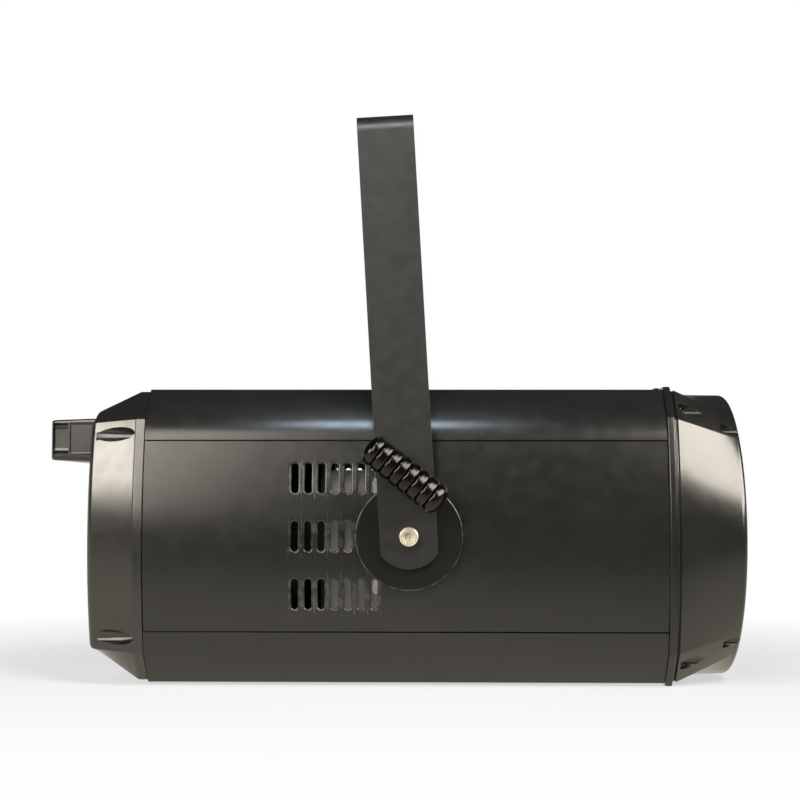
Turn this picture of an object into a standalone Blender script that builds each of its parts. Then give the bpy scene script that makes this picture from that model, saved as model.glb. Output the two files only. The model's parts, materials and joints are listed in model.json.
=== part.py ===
"""Zoom stage spotlight: an eight-sided aluminium body with bowed side panels, a tapered rear cap with a
carrying handle, a front bezel that turns from eight sides to round, a motor-driven lens carriage inside,
and a flat-bar yoke with friction discs and ribbed lock handles.

Metres. +X is the way the light shines, +Y is to the left of the beam, +Z is up. The origin is the middle of
the underside. Every piece is drawn about the optical axis, and the housing empty lifts it to its height.
"""

import math

import bmesh
import bpy
from mathutils import Matrix, Vector

# Fits
FIT = 0.0003
RUN_FIT = 0.0006

# Body tube
BODY_LENGTH = 0.3625
BODY_HEIGHT = 0.206
BODY_WIDTH = 0.206
SIDE_BOW = 0.011
SIDE_CORNER_DROP = 0.0218
TOP_CORNER_INSET = 0.032
SHELL_WALL = 0.003
PANEL_THICK = 0.002
STRIP_HEIGHT = 0.0152
SEAM_GAP = 0.001
TONGUE_REACH = 0.006
TONGUE_THICK = 0.0017
LIP_WIDTH = 0.0032
LIP_PROUD = 0.0011
LIP_SETBACK = 0.0023

# Vent slots in the side panels
SLOT_WIDTH = 0.0045
SLOT_HEIGHT = 0.021
SLOT_PITCH = 0.00915
SLOT_COLUMNS = 7
SLOT_ROWS = 3
SLOT_ROW_PITCH = 0.040
SLOT_FIRST_BEHIND_PIVOT = 0.0789

# Rear cap
CAP_COLLAR = 0.0065
CAP_TAPER = 0.0337
CAP_STEP = 0.0006
CAP_WALL = 0.003
CAP_REAR_WALL = 0.004
RIM_TOP_DROP = 0.0167
RIM_LOW_DROP = 0.0235
RIM_SIDE_DROP = 0.0022
RIM_CROWN_INSET = 0.013
RIM_BOW = 0.010
RIM_TOP_INSET = 0.007
RIM_ROUND = 0.004
CAP_SCREW_INSET = 0.014
CAP_SCREW_DROP = 0.0325
CAP_SCREW_RADIUS = 0.0019
HEAD_CROWN = 0.7
CAP_SCREW_HEAD_RADIUS = 0.0035
CAP_SCREW_HEAD_HEIGHT = 0.003
CAP_GOUGE_RADIUS = 0.0051
CAP_SCREW_LENGTH = 0.018
CAP_SCREW_LAND = 0.004
WINDOW_HALF_WIDTH = 0.066
WINDOW_BELOW_HANDLE = 0.0038
WINDOW_ABOVE_RIM = 0.0095
WINDOW_ROUND = 0.006

# Rear handle
HANDLE_DEPTH = 0.0324
HANDLE_WIDTH = 0.124
HANDLE_TOP_DROP = 0.0201
HANDLE_HEIGHT = 0.0311
HANDLE_TAPER = 0.0013
HANDLE_GRIP = 0.0125
HANDLE_ARM = 0.012
HANDLE_ROUND = 0.004
HANDLE_RECESS = 0.003
HANDLE_TOP_BAND = 0.003
HANDLE_LOW_BAND = 0.0056
HANDLE_RIB = 0.0012

# Control panel in the rear cap
PLATE_THICK = 0.002
PLATE_OVERLAP = 0.0035
DISPLAY_WIDTH = 0.062
DISPLAY_HEIGHT = 0.026
DISPLAY_THICK = 0.0012
DISPLAY_DROP = 0.019
BUTTON_NAMES = ("menu", "up", "down", "enter")
BUTTON_RADIUS = 0.0045
BUTTON_PITCH = 0.018
BUTTON_DROP = 0.047
BUTTON_PROUD = 0.0026
BUTTON_COLLAR_RADIUS = 0.006
BUTTON_COLLAR_THICK = 0.001
BUTTON_STEM = 0.0012
BUTTON_TRAVEL = 0.0012
SWITCH_HEIGHT = 0.003
SWITCH_SIZE = 0.006
BOARD_THICK = 0.0016
BOARD_HALF_WIDTH = 0.042
BOARD_BELOW_BUTTONS = 0.013
BOARD_ABOVE_DISPLAY = 0.015
SOCKET_PITCH = 0.034
SOCKET_RISE = 0.024
SOCKET_FLANGE_WIDTH = 0.026
SOCKET_FLANGE_HEIGHT = 0.031
SOCKET_FLANGE_THICK = 0.0024
SOCKET_RADIUS = 0.0118
SOCKET_BORE = 0.0095
SOCKET_DEPTH = 0.024
SOCKET_MOUTH = 0.0125
PIN_RADIUS = 0.0012
PIN_CIRCLE = 0.0045
PIN_LENGTH = 0.0045
LATCH_WIDTH = 0.007
LATCH_HEIGHT = 0.003
LATCH_PROUD = 0.0014
LATCH_TRAVEL = 0.001
FUSE_RADIUS = 0.0065
FUSE_PROUD = 0.0045
FUSE_DEPTH = 0.020
FUSE_Y = -0.050

# Front frame and bezel
FRAME_PROUD = 0.002
FRAME_THICK = 0.0062
FRAME_ROUND = 0.001
FRAME_BORE_WALL = 0.009
BEZEL_LENGTH = 0.047
BEZEL_WALL = 0.003
BEZEL_RIM_ROUND = 0.004
BEZEL_LIP = 0.0035
BEZEL_BORE_WALL = 0.007
BEZEL_SIDE_ANGLE = 42.0
BEZEL_TOP_ANGLE = 55.0
BEZEL_FLOOR = 0.003
BEZEL_SCREW_INSET = 0.0238
BEZEL_SCREW_DROP = 0.0151
BEZEL_GOUGE_RADIUS = 0.00475
BEZEL_SCREW_RADIUS = 0.0014
BEZEL_SCREW_HEAD_RADIUS = 0.0029
BEZEL_SCREW_HEAD_HEIGHT = 0.002
BEZEL_SCREW_LENGTH = 0.024
NOTCH_PROUD = 0.0022
NOTCH_ANGLE = 45.0
NOTCH_RADIUS = 0.0034
NOTCH_LENGTH = 0.013
PORT_WALL = 0.0025

# Yoke and its pivots
PIVOT_X = 0.0124
YOKE_REST_TILT = 3.3
YOKE_RISE = 0.293
STRAP_WIDTH = 0.040
STRAP_THICK = 0.004
STRAP_END_RADIUS = 0.024
STRAP_END_RISE = 0.0018
STRAP_BEND = 0.012
CLAMP_HOLE_RADIUS = 0.0065
SIDE_HOLE_RADIUS = 0.00525
SIDE_HOLE_Y = 0.040
DISC_RADIUS = 0.0372
DISC_THICK = 0.003
DISC_EDGE = 0.0006
PIVOT_SCREW_RADIUS = 0.0039
PIVOT_HEAD_RADIUS = 0.0065
PIVOT_HEAD_HEIGHT = 0.008
PIVOT_HEAD_EDGE = 0.0006
PIVOT_KEY_RADIUS = 0.0035
PIVOT_KEY_DEPTH = 0.004
PIVOT_PLATE_THICK = 0.003
PIVOT_PLATE_LENGTH = 0.051
PIVOT_PLATE_HEIGHT = 0.080
PIVOT_BOSS_RADIUS = 0.012

# Lock handles
LOCK_RISE = 0.042
LOCK_TURN = 38.2
GRIP_LENGTH = 0.065
GRIP_RADIUS = 0.011
GRIP_RIB_PITCH = 0.0075
GRIP_GROOVES = 7
GRIP_GROOVE_DEPTH = 0.0016
LOCK_NECK_RADIUS = 0.0065
LOCK_NECK_LENGTH = 0.010
LOCK_STUD_RADIUS = 0.0038
LOCK_STUD_REACH = 0.0026

# Cooling and light engine
MID_PLATE_BEHIND_PIVOT = 0.0082
MID_PLATE_THICK = 0.003
MID_PLATE_BORE = 0.033
SINK_LENGTH = 0.050
SINK_BASE = 0.006
SINK_WIDTH = 0.128
SINK_TOP_Z = 0.046
SINK_LOW_Z = -0.054
SINK_FINS = 13
SINK_FIN_THICK = 0.0024
FAN_SIZE = 0.120
FAN_THICK = 0.025
FAN_BORE = 0.0575
FAN_CORNER = 0.006
FAN_HUB_RADIUS = 0.020
FAN_HUB_BASE = 0.004
FAN_STRUT_WIDTH = 0.006
FAN_BLADES = 7
FAN_BLADE_RADIUS = 0.0555
FAN_BLADE_THICK = 0.0022
FAN_BLADE_PITCH = 38.0
FAN_BLADE_LENGTH = 0.020
FAN_ROTOR_LENGTH = 0.018
LED_PLATE = 0.044
LED_PLATE_THICK = 0.003
LED_DOME_RADIUS = 0.014
LED_DOME_HEIGHT = 0.007
REFLECTOR_FLANGE_RADIUS = 0.042
REFLECTOR_FLANGE_THICK = 0.002
REFLECTOR_BACK_RADIUS = 0.020
REFLECTOR_FRONT_RADIUS = 0.036
REFLECTOR_LENGTH = 0.036
REFLECTOR_WALL = 0.0015
SUPPLY_BEHIND_FAN = 0.0145
SUPPLY_WIDTH = 0.120
SUPPLY_HEIGHT = 0.052
SUPPLY_AHEAD_OF_CAP = 0.010
SUPPLY_ROUND = 0.002

# Zoom drive
ROD_ANGLE = 45.0
ROD_RADIUS = 0.004
SCREW_RADIUS = 0.004
SCREW_JOURNAL_RADIUS = 0.003
SCREW_JOURNAL_DEPTH = 0.003
MOTOR_RADIUS = 0.010
MOTOR_LENGTH = 0.022
MOTOR_EAR_RADIUS = 0.004
LENS_INSET = 0.018
LENS_EDGE = 0.004
LENS_RINGS = 6
LENS_STEP = 0.0022
CARRIAGE_INSET = 0.011
CARRIAGE_THICK = 0.014
CARRIAGE_FLOOR = 0.003
CARRIAGE_SEAT = 0.006
CARRIAGE_BEHIND_FRAME = 0.016
CARRIAGE_EAR_RADIUS = 0.0075
CARRIAGE_EAR_LENGTH = 0.022
ZOOM_TRAVEL = 0.095
LENS_RING_THICK = 0.002
NUT_RADIUS = 0.0058
NUT_FLANGE_RADIUS = 0.0075
NUT_FLANGE_THICK = 0.002

# Roundness of turned shapes
COARSE = 8
ROUND = 12
MEDIUM = 16
FINE = 32
LENS_FACETS = 28
SECTION_EDGES = (1, 1, 8)
BEZEL_EDGES = (6, 1, 10)
SHARP_ANGLE = math.radians(28)

# Places along the beam, from the rear end forward
OVERALL_LENGTH = (
    HANDLE_DEPTH + CAP_TAPER + CAP_COLLAR + BODY_LENGTH + FRAME_THICK + BEZEL_LENGTH + 4 * FIT
)
REAR_X = -OVERALL_LENGTH / 2
RIM_X = REAR_X + HANDLE_DEPTH + FIT
COLLAR_X = RIM_X + CAP_TAPER
CAP_FRONT_X = COLLAR_X + CAP_COLLAR
CAP_SCREW_FLOOR_X = CAP_FRONT_X - CAP_SCREW_LAND
BODY_REAR_X = CAP_FRONT_X + FIT
BODY_FRONT_X = BODY_REAR_X + BODY_LENGTH
FRAME_X = BODY_FRONT_X + FIT
FRAME_FRONT_X = FRAME_X + FRAME_THICK
BEZEL_X = FRAME_FRONT_X + FIT
BEZEL_FRONT_X = BEZEL_X + BEZEL_LENGTH
PLATE_X = RIM_X + CAP_REAR_WALL + FIT
PLATE_FRONT_X = PLATE_X + PLATE_THICK
MID_PLATE_X = PIVOT_X - MID_PLATE_BEHIND_PIVOT
MID_PLATE_FRONT_X = MID_PLATE_X + MID_PLATE_THICK
SINK_FRONT_X = MID_PLATE_X - FIT
SINK_X = SINK_FRONT_X - SINK_LENGTH
FAN_FRONT_X = SINK_X - FIT
FAN_X = FAN_FRONT_X - FAN_THICK
CARRIAGE_FRONT_X = FRAME_X - CARRIAGE_BEHIND_FRAME
CARRIAGE_X = CARRIAGE_FRONT_X - CARRIAGE_THICK

SUPPLY_X = BODY_REAR_X + SUPPLY_AHEAD_OF_CAP
SUPPLY_FRONT_X = FAN_X - SUPPLY_BEHIND_FAN

# Places across the beam
AXIS_HEIGHT = BODY_HEIGHT / 2 + FRAME_PROUD
CROWN_Y = BODY_WIDTH / 2
SIDE_CORNER_Z = BODY_HEIGHT / 2 - SIDE_CORNER_DROP
TOP_CORNER_Y = CROWN_Y - TOP_CORNER_INSET
SEAM_Z = SIDE_CORNER_Z - STRIP_HEIGHT
RIM_TOP_Z = BODY_HEIGHT / 2 - RIM_TOP_DROP
RIM_LOW_Z = BODY_HEIGHT / 2 - RIM_LOW_DROP
RIM_SIDE_Z = SIDE_CORNER_Z - RIM_SIDE_DROP
RIM_CROWN_Y = CROWN_Y - RIM_CROWN_INSET
RIM_TOP_Y = TOP_CORNER_Y - RIM_TOP_INSET
CAP_SCREW_Y = CROWN_Y - CAP_SCREW_INSET
CAP_SCREW_Z = BODY_HEIGHT / 2 - CAP_SCREW_DROP
HANDLE_TOP_Z = BODY_HEIGHT / 2 - HANDLE_TOP_DROP
HANDLE_LOW_Z = HANDLE_TOP_Z - HANDLE_HEIGHT
WINDOW_TOP_Z = HANDLE_LOW_Z - WINDOW_BELOW_HANDLE
WINDOW_LOW_Z = WINDOW_ABOVE_RIM - RIM_LOW_Z
DISPLAY_Z = WINDOW_TOP_Z - DISPLAY_DROP
BUTTON_Z = WINDOW_TOP_Z - BUTTON_DROP
SOCKET_Z = WINDOW_LOW_Z + SOCKET_RISE
BOARD_LOW_Z = BUTTON_Z - BOARD_BELOW_BUTTONS
BOARD_TOP_Z = DISPLAY_Z + BOARD_ABOVE_DISPLAY
BEZEL_RADIUS = min(BODY_WIDTH, BODY_HEIGHT) / 2
BEZEL_BORE = BEZEL_RADIUS - BEZEL_BORE_WALL
FRAME_BORE = BEZEL_RADIUS - FRAME_BORE_WALL
NOTCH_CIRCLE = BEZEL_RADIUS + NOTCH_PROUD
LENS_RADIUS = BEZEL_RADIUS - LENS_INSET
CARRIAGE_RADIUS = BEZEL_RADIUS - CARRIAGE_INSET
ROD_CIRCLE = BEZEL_RADIUS
DISC_Y = CROWN_Y + FIT
STRAP_Y = DISC_Y + DISC_THICK + FIT
STRAP_OUT_Y = STRAP_Y + STRAP_THICK
PANEL_SEAT = PANEL_THICK + FIT
SHELL_SEAT = PANEL_SEAT + TONGUE_THICK
ROD_OFFSET = ROD_CIRCLE * math.cos(math.radians(ROD_ANGLE))
ROD_HEIGHT = ROD_CIRCLE * math.sin(math.radians(ROD_ANGLE))
BEZEL_SCREW_Y = CROWN_Y - BEZEL_SCREW_INSET
BEZEL_SCREW_Z = BODY_HEIGHT / 2 - BEZEL_SCREW_DROP
SIDES = (("right", -1), ("left", 1))
CORNERS = (("upper_right", -1, 1), ("upper_left", 1, 1), ("lower_left", 1, -1), ("lower_right", -1, -1))


def clear_scene():
    """Removes whatever the open file holds."""
    for item in list(bpy.data.objects):
        bpy.data.objects.remove(item, do_unlink=True)


# Materials


def finish_material(name, colour, roughness, metallic, transmission=0.0):
    """One Principled material."""
    material = bpy.data.materials.new(name)
    material.use_nodes = True
    shader = material.node_tree.nodes["Principled BSDF"]
    shader.inputs["Base Color"].default_value = (*colour, 1.0)
    shader.inputs["Roughness"].default_value = roughness
    shader.inputs["Metallic"].default_value = metallic
    shader.inputs["Transmission Weight"].default_value = transmission
    material.diffuse_color = (*colour, 1.0)
    return material


def painted_aluminium():
    """Charcoal powder coat on the shells and panels."""
    return finish_material("painted_aluminium", (0.030, 0.029, 0.027), 0.42, 0.0)


def painted_steel():
    """Charcoal powder coat on the yoke and friction discs."""
    return finish_material("painted_steel", (0.032, 0.031, 0.029), 0.45, 0.0)


def moulded_plastic():
    """Glossier black plastic of the cap, bezel and handle."""
    return finish_material("moulded_plastic", (0.026, 0.025, 0.023), 0.30, 0.0)


def black_nickel():
    """Dark shiny plating of the lock handles."""
    return finish_material("black_nickel", (0.050, 0.048, 0.046), 0.18, 0.9)


def bright_steel():
    """Pivot screws, rods and shafts."""
    return finish_material("bright_steel", (0.62, 0.60, 0.56), 0.28, 1.0)


def black_steel():
    """Black oxide on the cap's and bezel's screws."""
    return finish_material("black_steel", (0.020, 0.020, 0.020), 0.40, 1.0)


def bare_aluminium():
    """Heat sink and mid plate."""
    return finish_material("bare_aluminium", (0.55, 0.55, 0.54), 0.45, 1.0)


def black_plastic():
    """Matt black plastic of the fan, sockets and small parts."""
    return finish_material("black_plastic", (0.012, 0.012, 0.012), 0.55, 0.0)


def clear_glass():
    """Pressed glass of the lens."""
    return finish_material("clear_glass", (0.92, 0.95, 0.95), 0.05, 0.0, transmission=0.9)


def display_glass():
    """Dark tinted window of the display."""
    return finish_material("display_glass", (0.02, 0.03, 0.05), 0.10, 0.0)


def board_green():
    """Solder mask of the control board."""
    return finish_material("board_green", (0.02, 0.12, 0.05), 0.45, 0.0)


def galvanised_steel():
    """Pivot plates and motor can."""
    return finish_material("galvanised_steel", (0.48, 0.49, 0.50), 0.40, 1.0)


def supply_case():
    """Bare sheet case of the power supply."""
    return finish_material("supply_case", (0.48, 0.49, 0.50), 0.45, 1.0)


def brass():
    """Drive nut."""
    return finish_material("brass", (0.60, 0.44, 0.18), 0.30, 1.0)


def phosphor_yellow():
    """Emitter of the light engine."""
    return finish_material("phosphor_yellow", (0.80, 0.68, 0.20), 0.40, 0.0)


def make_materials():
    """Every finish by name."""
    makers = (
        painted_aluminium, painted_steel, moulded_plastic, black_nickel, bright_steel, black_steel,
        bare_aluminium, supply_case, galvanised_steel, black_plastic, clear_glass, display_glass,
        board_green, brass, phosphor_yellow,
    )
    return {maker.__name__: maker() for maker in makers}


# Outlines, as (across, up) points


def bow_radius(bow, side_z):
    """Radius of a side that bows out by bow between two corners side_z above and below the axis."""
    return (side_z**2 + bow**2) / (2 * bow)


def corners(top, side_z, crown, bow, top_y, inset):
    """The flat's corner and the side's corner in one quarter of the outline, moved inward by inset."""
    start = Vector((top_y, top))
    end = Vector((crown - bow, side_z))
    along = (end - start).normalized()
    moved = start + Vector((along.y, -along.x)) * inset
    flat_corner = moved + along * ((top - inset - moved.y) / along.y)
    radius = bow_radius(bow, side_z)
    back = moved - Vector((crown - radius, 0.0))
    half = along.dot(back)
    reach = math.sqrt(half**2 - back.length_squared + (radius - inset) ** 2) - half
    return tuple(flat_corner), tuple(moved + along * reach)


def octagon(top, low, side_z, crown, bow, top_y, inset=0.0, edges=SECTION_EDGES):
    """Eight-sided outline with bowed sides, clockwise from its upper left corner, moved inward by inset.

    edges are the counts along a flat, a corner facet and a side.
    """
    flat, side = corners(top, side_z, crown, bow, top_y, inset)
    low_flat, low_side = corners(low, side_z, crown, bow, top_y, inset)
    low_flat = (low_flat[0], -low_flat[1])
    low_side = (low_side[0], -low_side[1])
    radius = bow_radius(bow, side_z) - inset
    centre = crown - inset - radius
    right = straight(flat, side, edges[1])
    right += side_arc(centre, radius, side[1], low_side[1], edges[2])
    right += straight(low_side, low_flat, edges[1])
    left = [(-y, z) for y, z in reversed(right[1:] + [low_flat])]
    points = straight((-flat[0], flat[1]), flat, edges[0]) + right
    points += straight(low_flat, (-low_flat[0], low_flat[1]), edges[0]) + left
    return points


def straight(start, end, count):
    """Points from start towards end, without the end."""
    return [
        tuple(a + (b - a) * step / count for a, b in zip(start, end))
        for step in range(count)
    ]


def side_arc(centre, radius, high, low, count):
    """Points down a bowed side from one height towards another, without the last."""
    first = math.asin(high / radius)
    last = math.asin(low / radius)
    angles = [first + (last - first) * step / count for step in range(count)]
    return [(centre + radius * math.cos(a), radius * math.sin(a)) for a in angles]


def body_outline(inset=0.0, edges=SECTION_EDGES):
    """The body's section, moved inward by inset."""
    half = BODY_HEIGHT / 2
    return octagon(half, half, SIDE_CORNER_Z, CROWN_Y, SIDE_BOW, TOP_CORNER_Y, inset, edges)


def body_corners(inset):
    """The body's two upper right corners, moved inward by inset."""
    return corners(BODY_HEIGHT / 2, SIDE_CORNER_Z, CROWN_Y, SIDE_BOW, TOP_CORNER_Y, inset)


def side_line(inset, *heights):
    """Points on the body's right side at some heights, moved inward by inset."""
    radius = bow_radius(SIDE_BOW, SIDE_CORNER_Z) - inset
    centre = CROWN_Y - inset - radius
    return [(centre + math.sqrt(radius**2 - z**2), z) for z in heights]


def slot_rows():
    """Heights of the slot rows, from the top."""
    return [((SLOT_ROWS - 1) / 2 - row) * SLOT_ROW_PITCH for row in range(SLOT_ROWS)]


def panel_line(inset):
    """The bowed line of a side panel from its upper to its lower edge, its corners clear of the slots."""
    edge = SEAM_Z - SEAM_GAP / 2
    clear = (SLOT_HEIGHT + SLOT_WIDTH) / 2
    corners_between = [z for row in slot_rows() for z in (row + clear, row - clear)]
    return side_line(inset, edge, *corners_between, -edge)


def panel_inner(height):
    """Distance across to a side panel's inner face at a height."""
    line = panel_line(PANEL_THICK)
    for (near, high), (far, low) in zip(line, line[1:]):
        if high >= height >= low:
            return near + (far - near) * (high - height) / (high - low)
    raise ValueError("the side panel doesn't reach this height")


def cap_outline(share, inset=0.0):
    """The rear cap's section, share 0 at the collar and 1 at the rim."""
    half = BODY_HEIGHT / 2 - CAP_STEP
    crown = CROWN_Y - CAP_STEP
    return octagon(
        half + (RIM_TOP_Z - half) * share,
        half + (RIM_LOW_Z - half) * share,
        SIDE_CORNER_Z + (RIM_SIDE_Z - SIDE_CORNER_Z) * share,
        crown + (RIM_CROWN_Y - crown) * share,
        SIDE_BOW + (RIM_BOW - SIDE_BOW) * share,
        TOP_CORNER_Y + (RIM_TOP_Y - TOP_CORNER_Y) * share,
        inset,
    )


def circle(radius, steps, centre=(0.0, 0.0)):
    """A circle, clockwise as the eight-sided outlines are."""
    angles = [-2 * math.pi * step / steps for step in range(steps)]
    return [(centre[0] + radius * math.cos(a), centre[1] + radius * math.sin(a)) for a in angles]


def barrel_circle(radius):
    """A circle whose points pair with those of the bezel's eight-sided end."""
    flats, facets, sides = BEZEL_EDGES
    stops = [180 - BEZEL_TOP_ANGLE, BEZEL_TOP_ANGLE, BEZEL_SIDE_ANGLE, -BEZEL_SIDE_ANGLE, -BEZEL_TOP_ANGLE]
    stops += [BEZEL_TOP_ANGLE - 180, BEZEL_SIDE_ANGLE - 180, -180 - BEZEL_SIDE_ANGLE, -180 - BEZEL_TOP_ANGLE]
    steps = [flats, facets, sides, facets, flats, facets, sides, facets]
    points = []
    for start, end, count in zip(stops, stops[1:], steps):
        for step in range(count):
            angle = math.radians(start + (end - start) * step / count)
            points.append((radius * math.cos(angle), radius * math.sin(angle)))
    return points


def quarter_round(radius, steps=2):
    """Insets and rises of a rounded edge, from its side to its end."""
    angles = [math.pi / 2 * step / steps for step in range(steps + 1)]
    return [(radius * (1 - math.cos(a)), radius * math.sin(a)) for a in angles]


def between(first, second, share):
    """An outline part of the way from one to another."""
    return [
        tuple(a + (b - a) * share for a, b in zip(p, q))
        for p, q in zip(first, second)
    ]


def rounded_box(low, high, radius, steps=3):
    """A rectangle with round corners from its lowest to its highest corner."""
    points = []
    corners = (
        (high[0] - radius, high[1] - radius, 90),
        (high[0] - radius, low[1] + radius, 0),
        (low[0] + radius, low[1] + radius, -90),
        (low[0] + radius, high[1] - radius, -180),
    )
    for across, up, first in corners:
        for step in range(steps + 1):
            angle = math.radians(first - 90 * step / steps)
            points.append((across + radius * math.cos(angle), up + radius * math.sin(angle)))
    return points


def stadium(centre, width, height, steps=3):
    """An upright slot with round ends."""
    radius = width / 2
    reach = height / 2 - radius
    points = []
    for middle, first in ((centre[1] + reach, 180), (centre[1] - reach, 0)):
        for step in range(steps + 1):
            angle = math.radians(first - 180 * step / steps)
            points.append((centre[0] + radius * math.cos(angle), middle + radius * math.sin(angle)))
    return points


# Solids, as bmeshes


def loft(rings, closed=False):
    """A skin over rings of as many points each, with flat ends, or joined into a loop."""
    shape = bmesh.new()
    rows = [[shape.verts.new(point) for point in ring] for ring in rings]
    pairs = list(zip(rows, rows[1:]))
    if closed:
        pairs.append((rows[-1], rows[0]))
    for first, second in pairs:
        for index in range(len(first)):
            after = (index + 1) % len(first)
            shape.faces.new((first[index], first[after], second[after], second[index]))
    if not closed:
        shape.faces.new(rows[0])
        shape.faces.new(rows[-1])
    bmesh.ops.recalc_face_normals(shape, faces=shape.faces)
    return shape


def place(outline, at, axis):
    """The outline's points in space, at a distance along an axis."""
    if axis == "X":
        return [(at, a, b) for a, b in outline]
    if axis == "Y":
        return [(a, at, b) for a, b in outline]
    return [(a, b, at) for a, b in outline]


def prism(outline, low, high, axis="X"):
    """The outline drawn out between two distances along an axis."""
    return loft([place(outline, low, axis), place(outline, high, axis)])


def box(low, high):
    """A box from its lowest to its highest corner."""
    outline = [(low[1], low[2]), (low[1], high[2]), (high[1], high[2]), (high[1], low[2])]
    return prism(outline, low[0], high[0])


def lathe(profile, steps, closed=False):
    """A turned solid about X, from (distance along X, radius) points. A closed profile makes a ring."""
    shape = bmesh.new()
    rows = []
    for along, radius in profile:
        if radius == 0:
            rows.append([shape.verts.new((along, 0.0, 0.0))])
        else:
            rows.append([shape.verts.new((along, y, z)) for y, z in circle(radius, steps)])
    pairs = list(zip(rows, rows[1:]))
    if closed:
        pairs.append((rows[-1], rows[0]))
    for first, second in pairs:
        for index in range(steps):
            after = (index + 1) % steps
            corners = [first[index % len(first)], first[after % len(first)]]
            corners += [second[after % len(second)], second[index % len(second)]]
            corners = list(dict.fromkeys(corners))
            if len(corners) > 2:
                shape.faces.new(corners)
    if not closed:
        for row in (rows[0], rows[-1]):
            if len(row) > 1:
                shape.faces.new(row)
    bmesh.ops.recalc_face_normals(shape, faces=shape.faces)
    return shape


def together(*shapes):
    """Several bmeshes as one."""
    joined = bmesh.new()
    for shape in shapes:
        mesh = bpy.data.meshes.new("part_of_shape")
        shape.to_mesh(mesh)
        shape.free()
        joined.from_mesh(mesh)
        bpy.data.meshes.remove(mesh)
    return joined


def turned(shape, matrix):
    """The bmesh after a turn or a move."""
    bmesh.ops.transform(shape, matrix=matrix, verts=shape.verts)
    return shape


# Objects


def piece(name, shape, material, parent, at=(0.0, 0.0, 0.0)):
    """One named object from a bmesh, at a place under its parent."""
    mesh = bpy.data.meshes.new(name)
    shape.to_mesh(mesh)
    shape.free()
    mesh.materials.append(material)
    item = bpy.data.objects.new(name, mesh)
    bpy.context.scene.collection.objects.link(item)
    item.parent = parent
    item.location = at
    return item


def empty(name, parent=None, at=(0.0, 0.0, 0.0)):
    """An empty that pieces hang from."""
    item = bpy.data.objects.new(name, None)
    bpy.context.scene.collection.objects.link(item)
    item.empty_display_size = 0.02
    item.parent = parent
    item.location = at
    return item


def carve(item, shape, operation="DIFFERENCE"):
    """Cuts the shape from the object, joins it on, or keeps what they share."""
    mesh = bpy.data.meshes.new("cutter")
    shape.to_mesh(mesh)
    shape.free()
    cutter = bpy.data.objects.new("cutter", mesh)
    bpy.context.scene.collection.objects.link(cutter)
    cutter.hide_render = True
    cutter.display_type = "WIRE"
    cutter.parent = item.parent
    cutter.location = item.location
    modifier = item.modifiers.new("carve", "BOOLEAN")
    modifier.operation = operation
    modifier.solver = "EXACT"
    modifier.object = cutter
    bpy.context.view_layer.update()
    graph = bpy.context.evaluated_depsgraph_get()
    result = bpy.data.meshes.new_from_object(item.evaluated_get(graph))
    item.modifiers.remove(modifier)
    before = item.data
    item.data = result
    bpy.data.meshes.remove(before)
    bpy.data.objects.remove(cutter, do_unlink=True)
    bpy.data.meshes.remove(mesh)
    result.name = item.name
    return item


def shade_round():
    """Smooth shading with sharp creases on every piece."""
    for item in bpy.data.objects:
        if item.type == "MESH":
            item.data.shade_smooth()
            item.data.set_sharp_from_angle(angle=SHARP_ANGLE)


def taken(item):
    """An object's shape as a bmesh, with the object removed."""
    shape = bmesh.new()
    shape.from_mesh(item.data)
    bpy.data.objects.remove(item, do_unlink=True)
    return shape


def rod(radius, low, high, centre=(0.0, 0.0), steps=COARSE, axis="X"):
    """A round bar along an axis."""
    return prism(circle(radius, steps, centre), low, high, axis)


def ring(inner, outer, low, high, steps):
    """A flat ring about X."""
    return lathe([(low, inner), (low, outer), (high, outer), (high, inner)], steps, closed=True)


# Body


def shell_outline():
    """The top shell's section: its strips end at the seams, and inner tongues reach down behind the panels."""
    seam = SEAM_Z + SEAM_GAP / 2
    tongue_end = SEAM_Z - TONGUE_REACH
    thick_end = SIDE_CORNER_Z - SHELL_SEAT
    flat, side = body_corners(0.0)
    inner_flat, inner_side = body_corners(SHELL_WALL)
    right = [flat] + side_line(0.0, side[1], seam)
    right += side_line(PANEL_SEAT, seam, tongue_end)
    right += side_line(SHELL_SEAT, tongue_end, thick_end)
    right += side_line(SHELL_WALL, thick_end, inner_side[1]) + [inner_flat]
    return right + [(-y, z) for y, z in reversed(right)]


def port_shapes(height_sign):
    """Full-length screw ports of one shell, as solid bars, and the bores through them."""
    bars = []
    bores = []
    for across in (-1, 1):
        for y, z, radius in (
            (CAP_SCREW_Y, CAP_SCREW_Z, CAP_SCREW_RADIUS + FIT),
            (BEZEL_SCREW_Y, BEZEL_SCREW_Z, BEZEL_SCREW_RADIUS + FIT),
        ):
            centre = (across * y, height_sign * z)
            bars.append(rod(radius + PORT_WALL, BODY_REAR_X, BODY_FRONT_X, centre))
            bores.append(rod(radius, BODY_REAR_X - SHELL_WALL, BODY_FRONT_X + SHELL_WALL, centre, 8))
    return bars, bores


def shells(materials, housing):
    """The top and bottom extrusions, with screw ports along their corners."""
    for name, sign in (("top_shell", 1), ("bottom_shell", -1)):
        outline = [(y, sign * z) for y, z in shell_outline()]
        shell = piece(name, prism(outline, BODY_REAR_X, BODY_FRONT_X), materials["painted_aluminium"], housing)
        bars, bores = port_shapes(sign)
        for bar in bars:
            carve(shell, bar, "UNION")
        carve(shell, together(*bores))
        if sign > 0:
            front = BODY_FRONT_X - LIP_SETBACK
            reach = TOP_CORNER_Y - LIP_PROUD
            low = (front - LIP_WIDTH, -reach, BODY_HEIGHT / 2 - SHELL_WALL / 2)
            high = (front, reach, BODY_HEIGHT / 2 + LIP_PROUD)
            carve(shell, box(low, high), "UNION")


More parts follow.
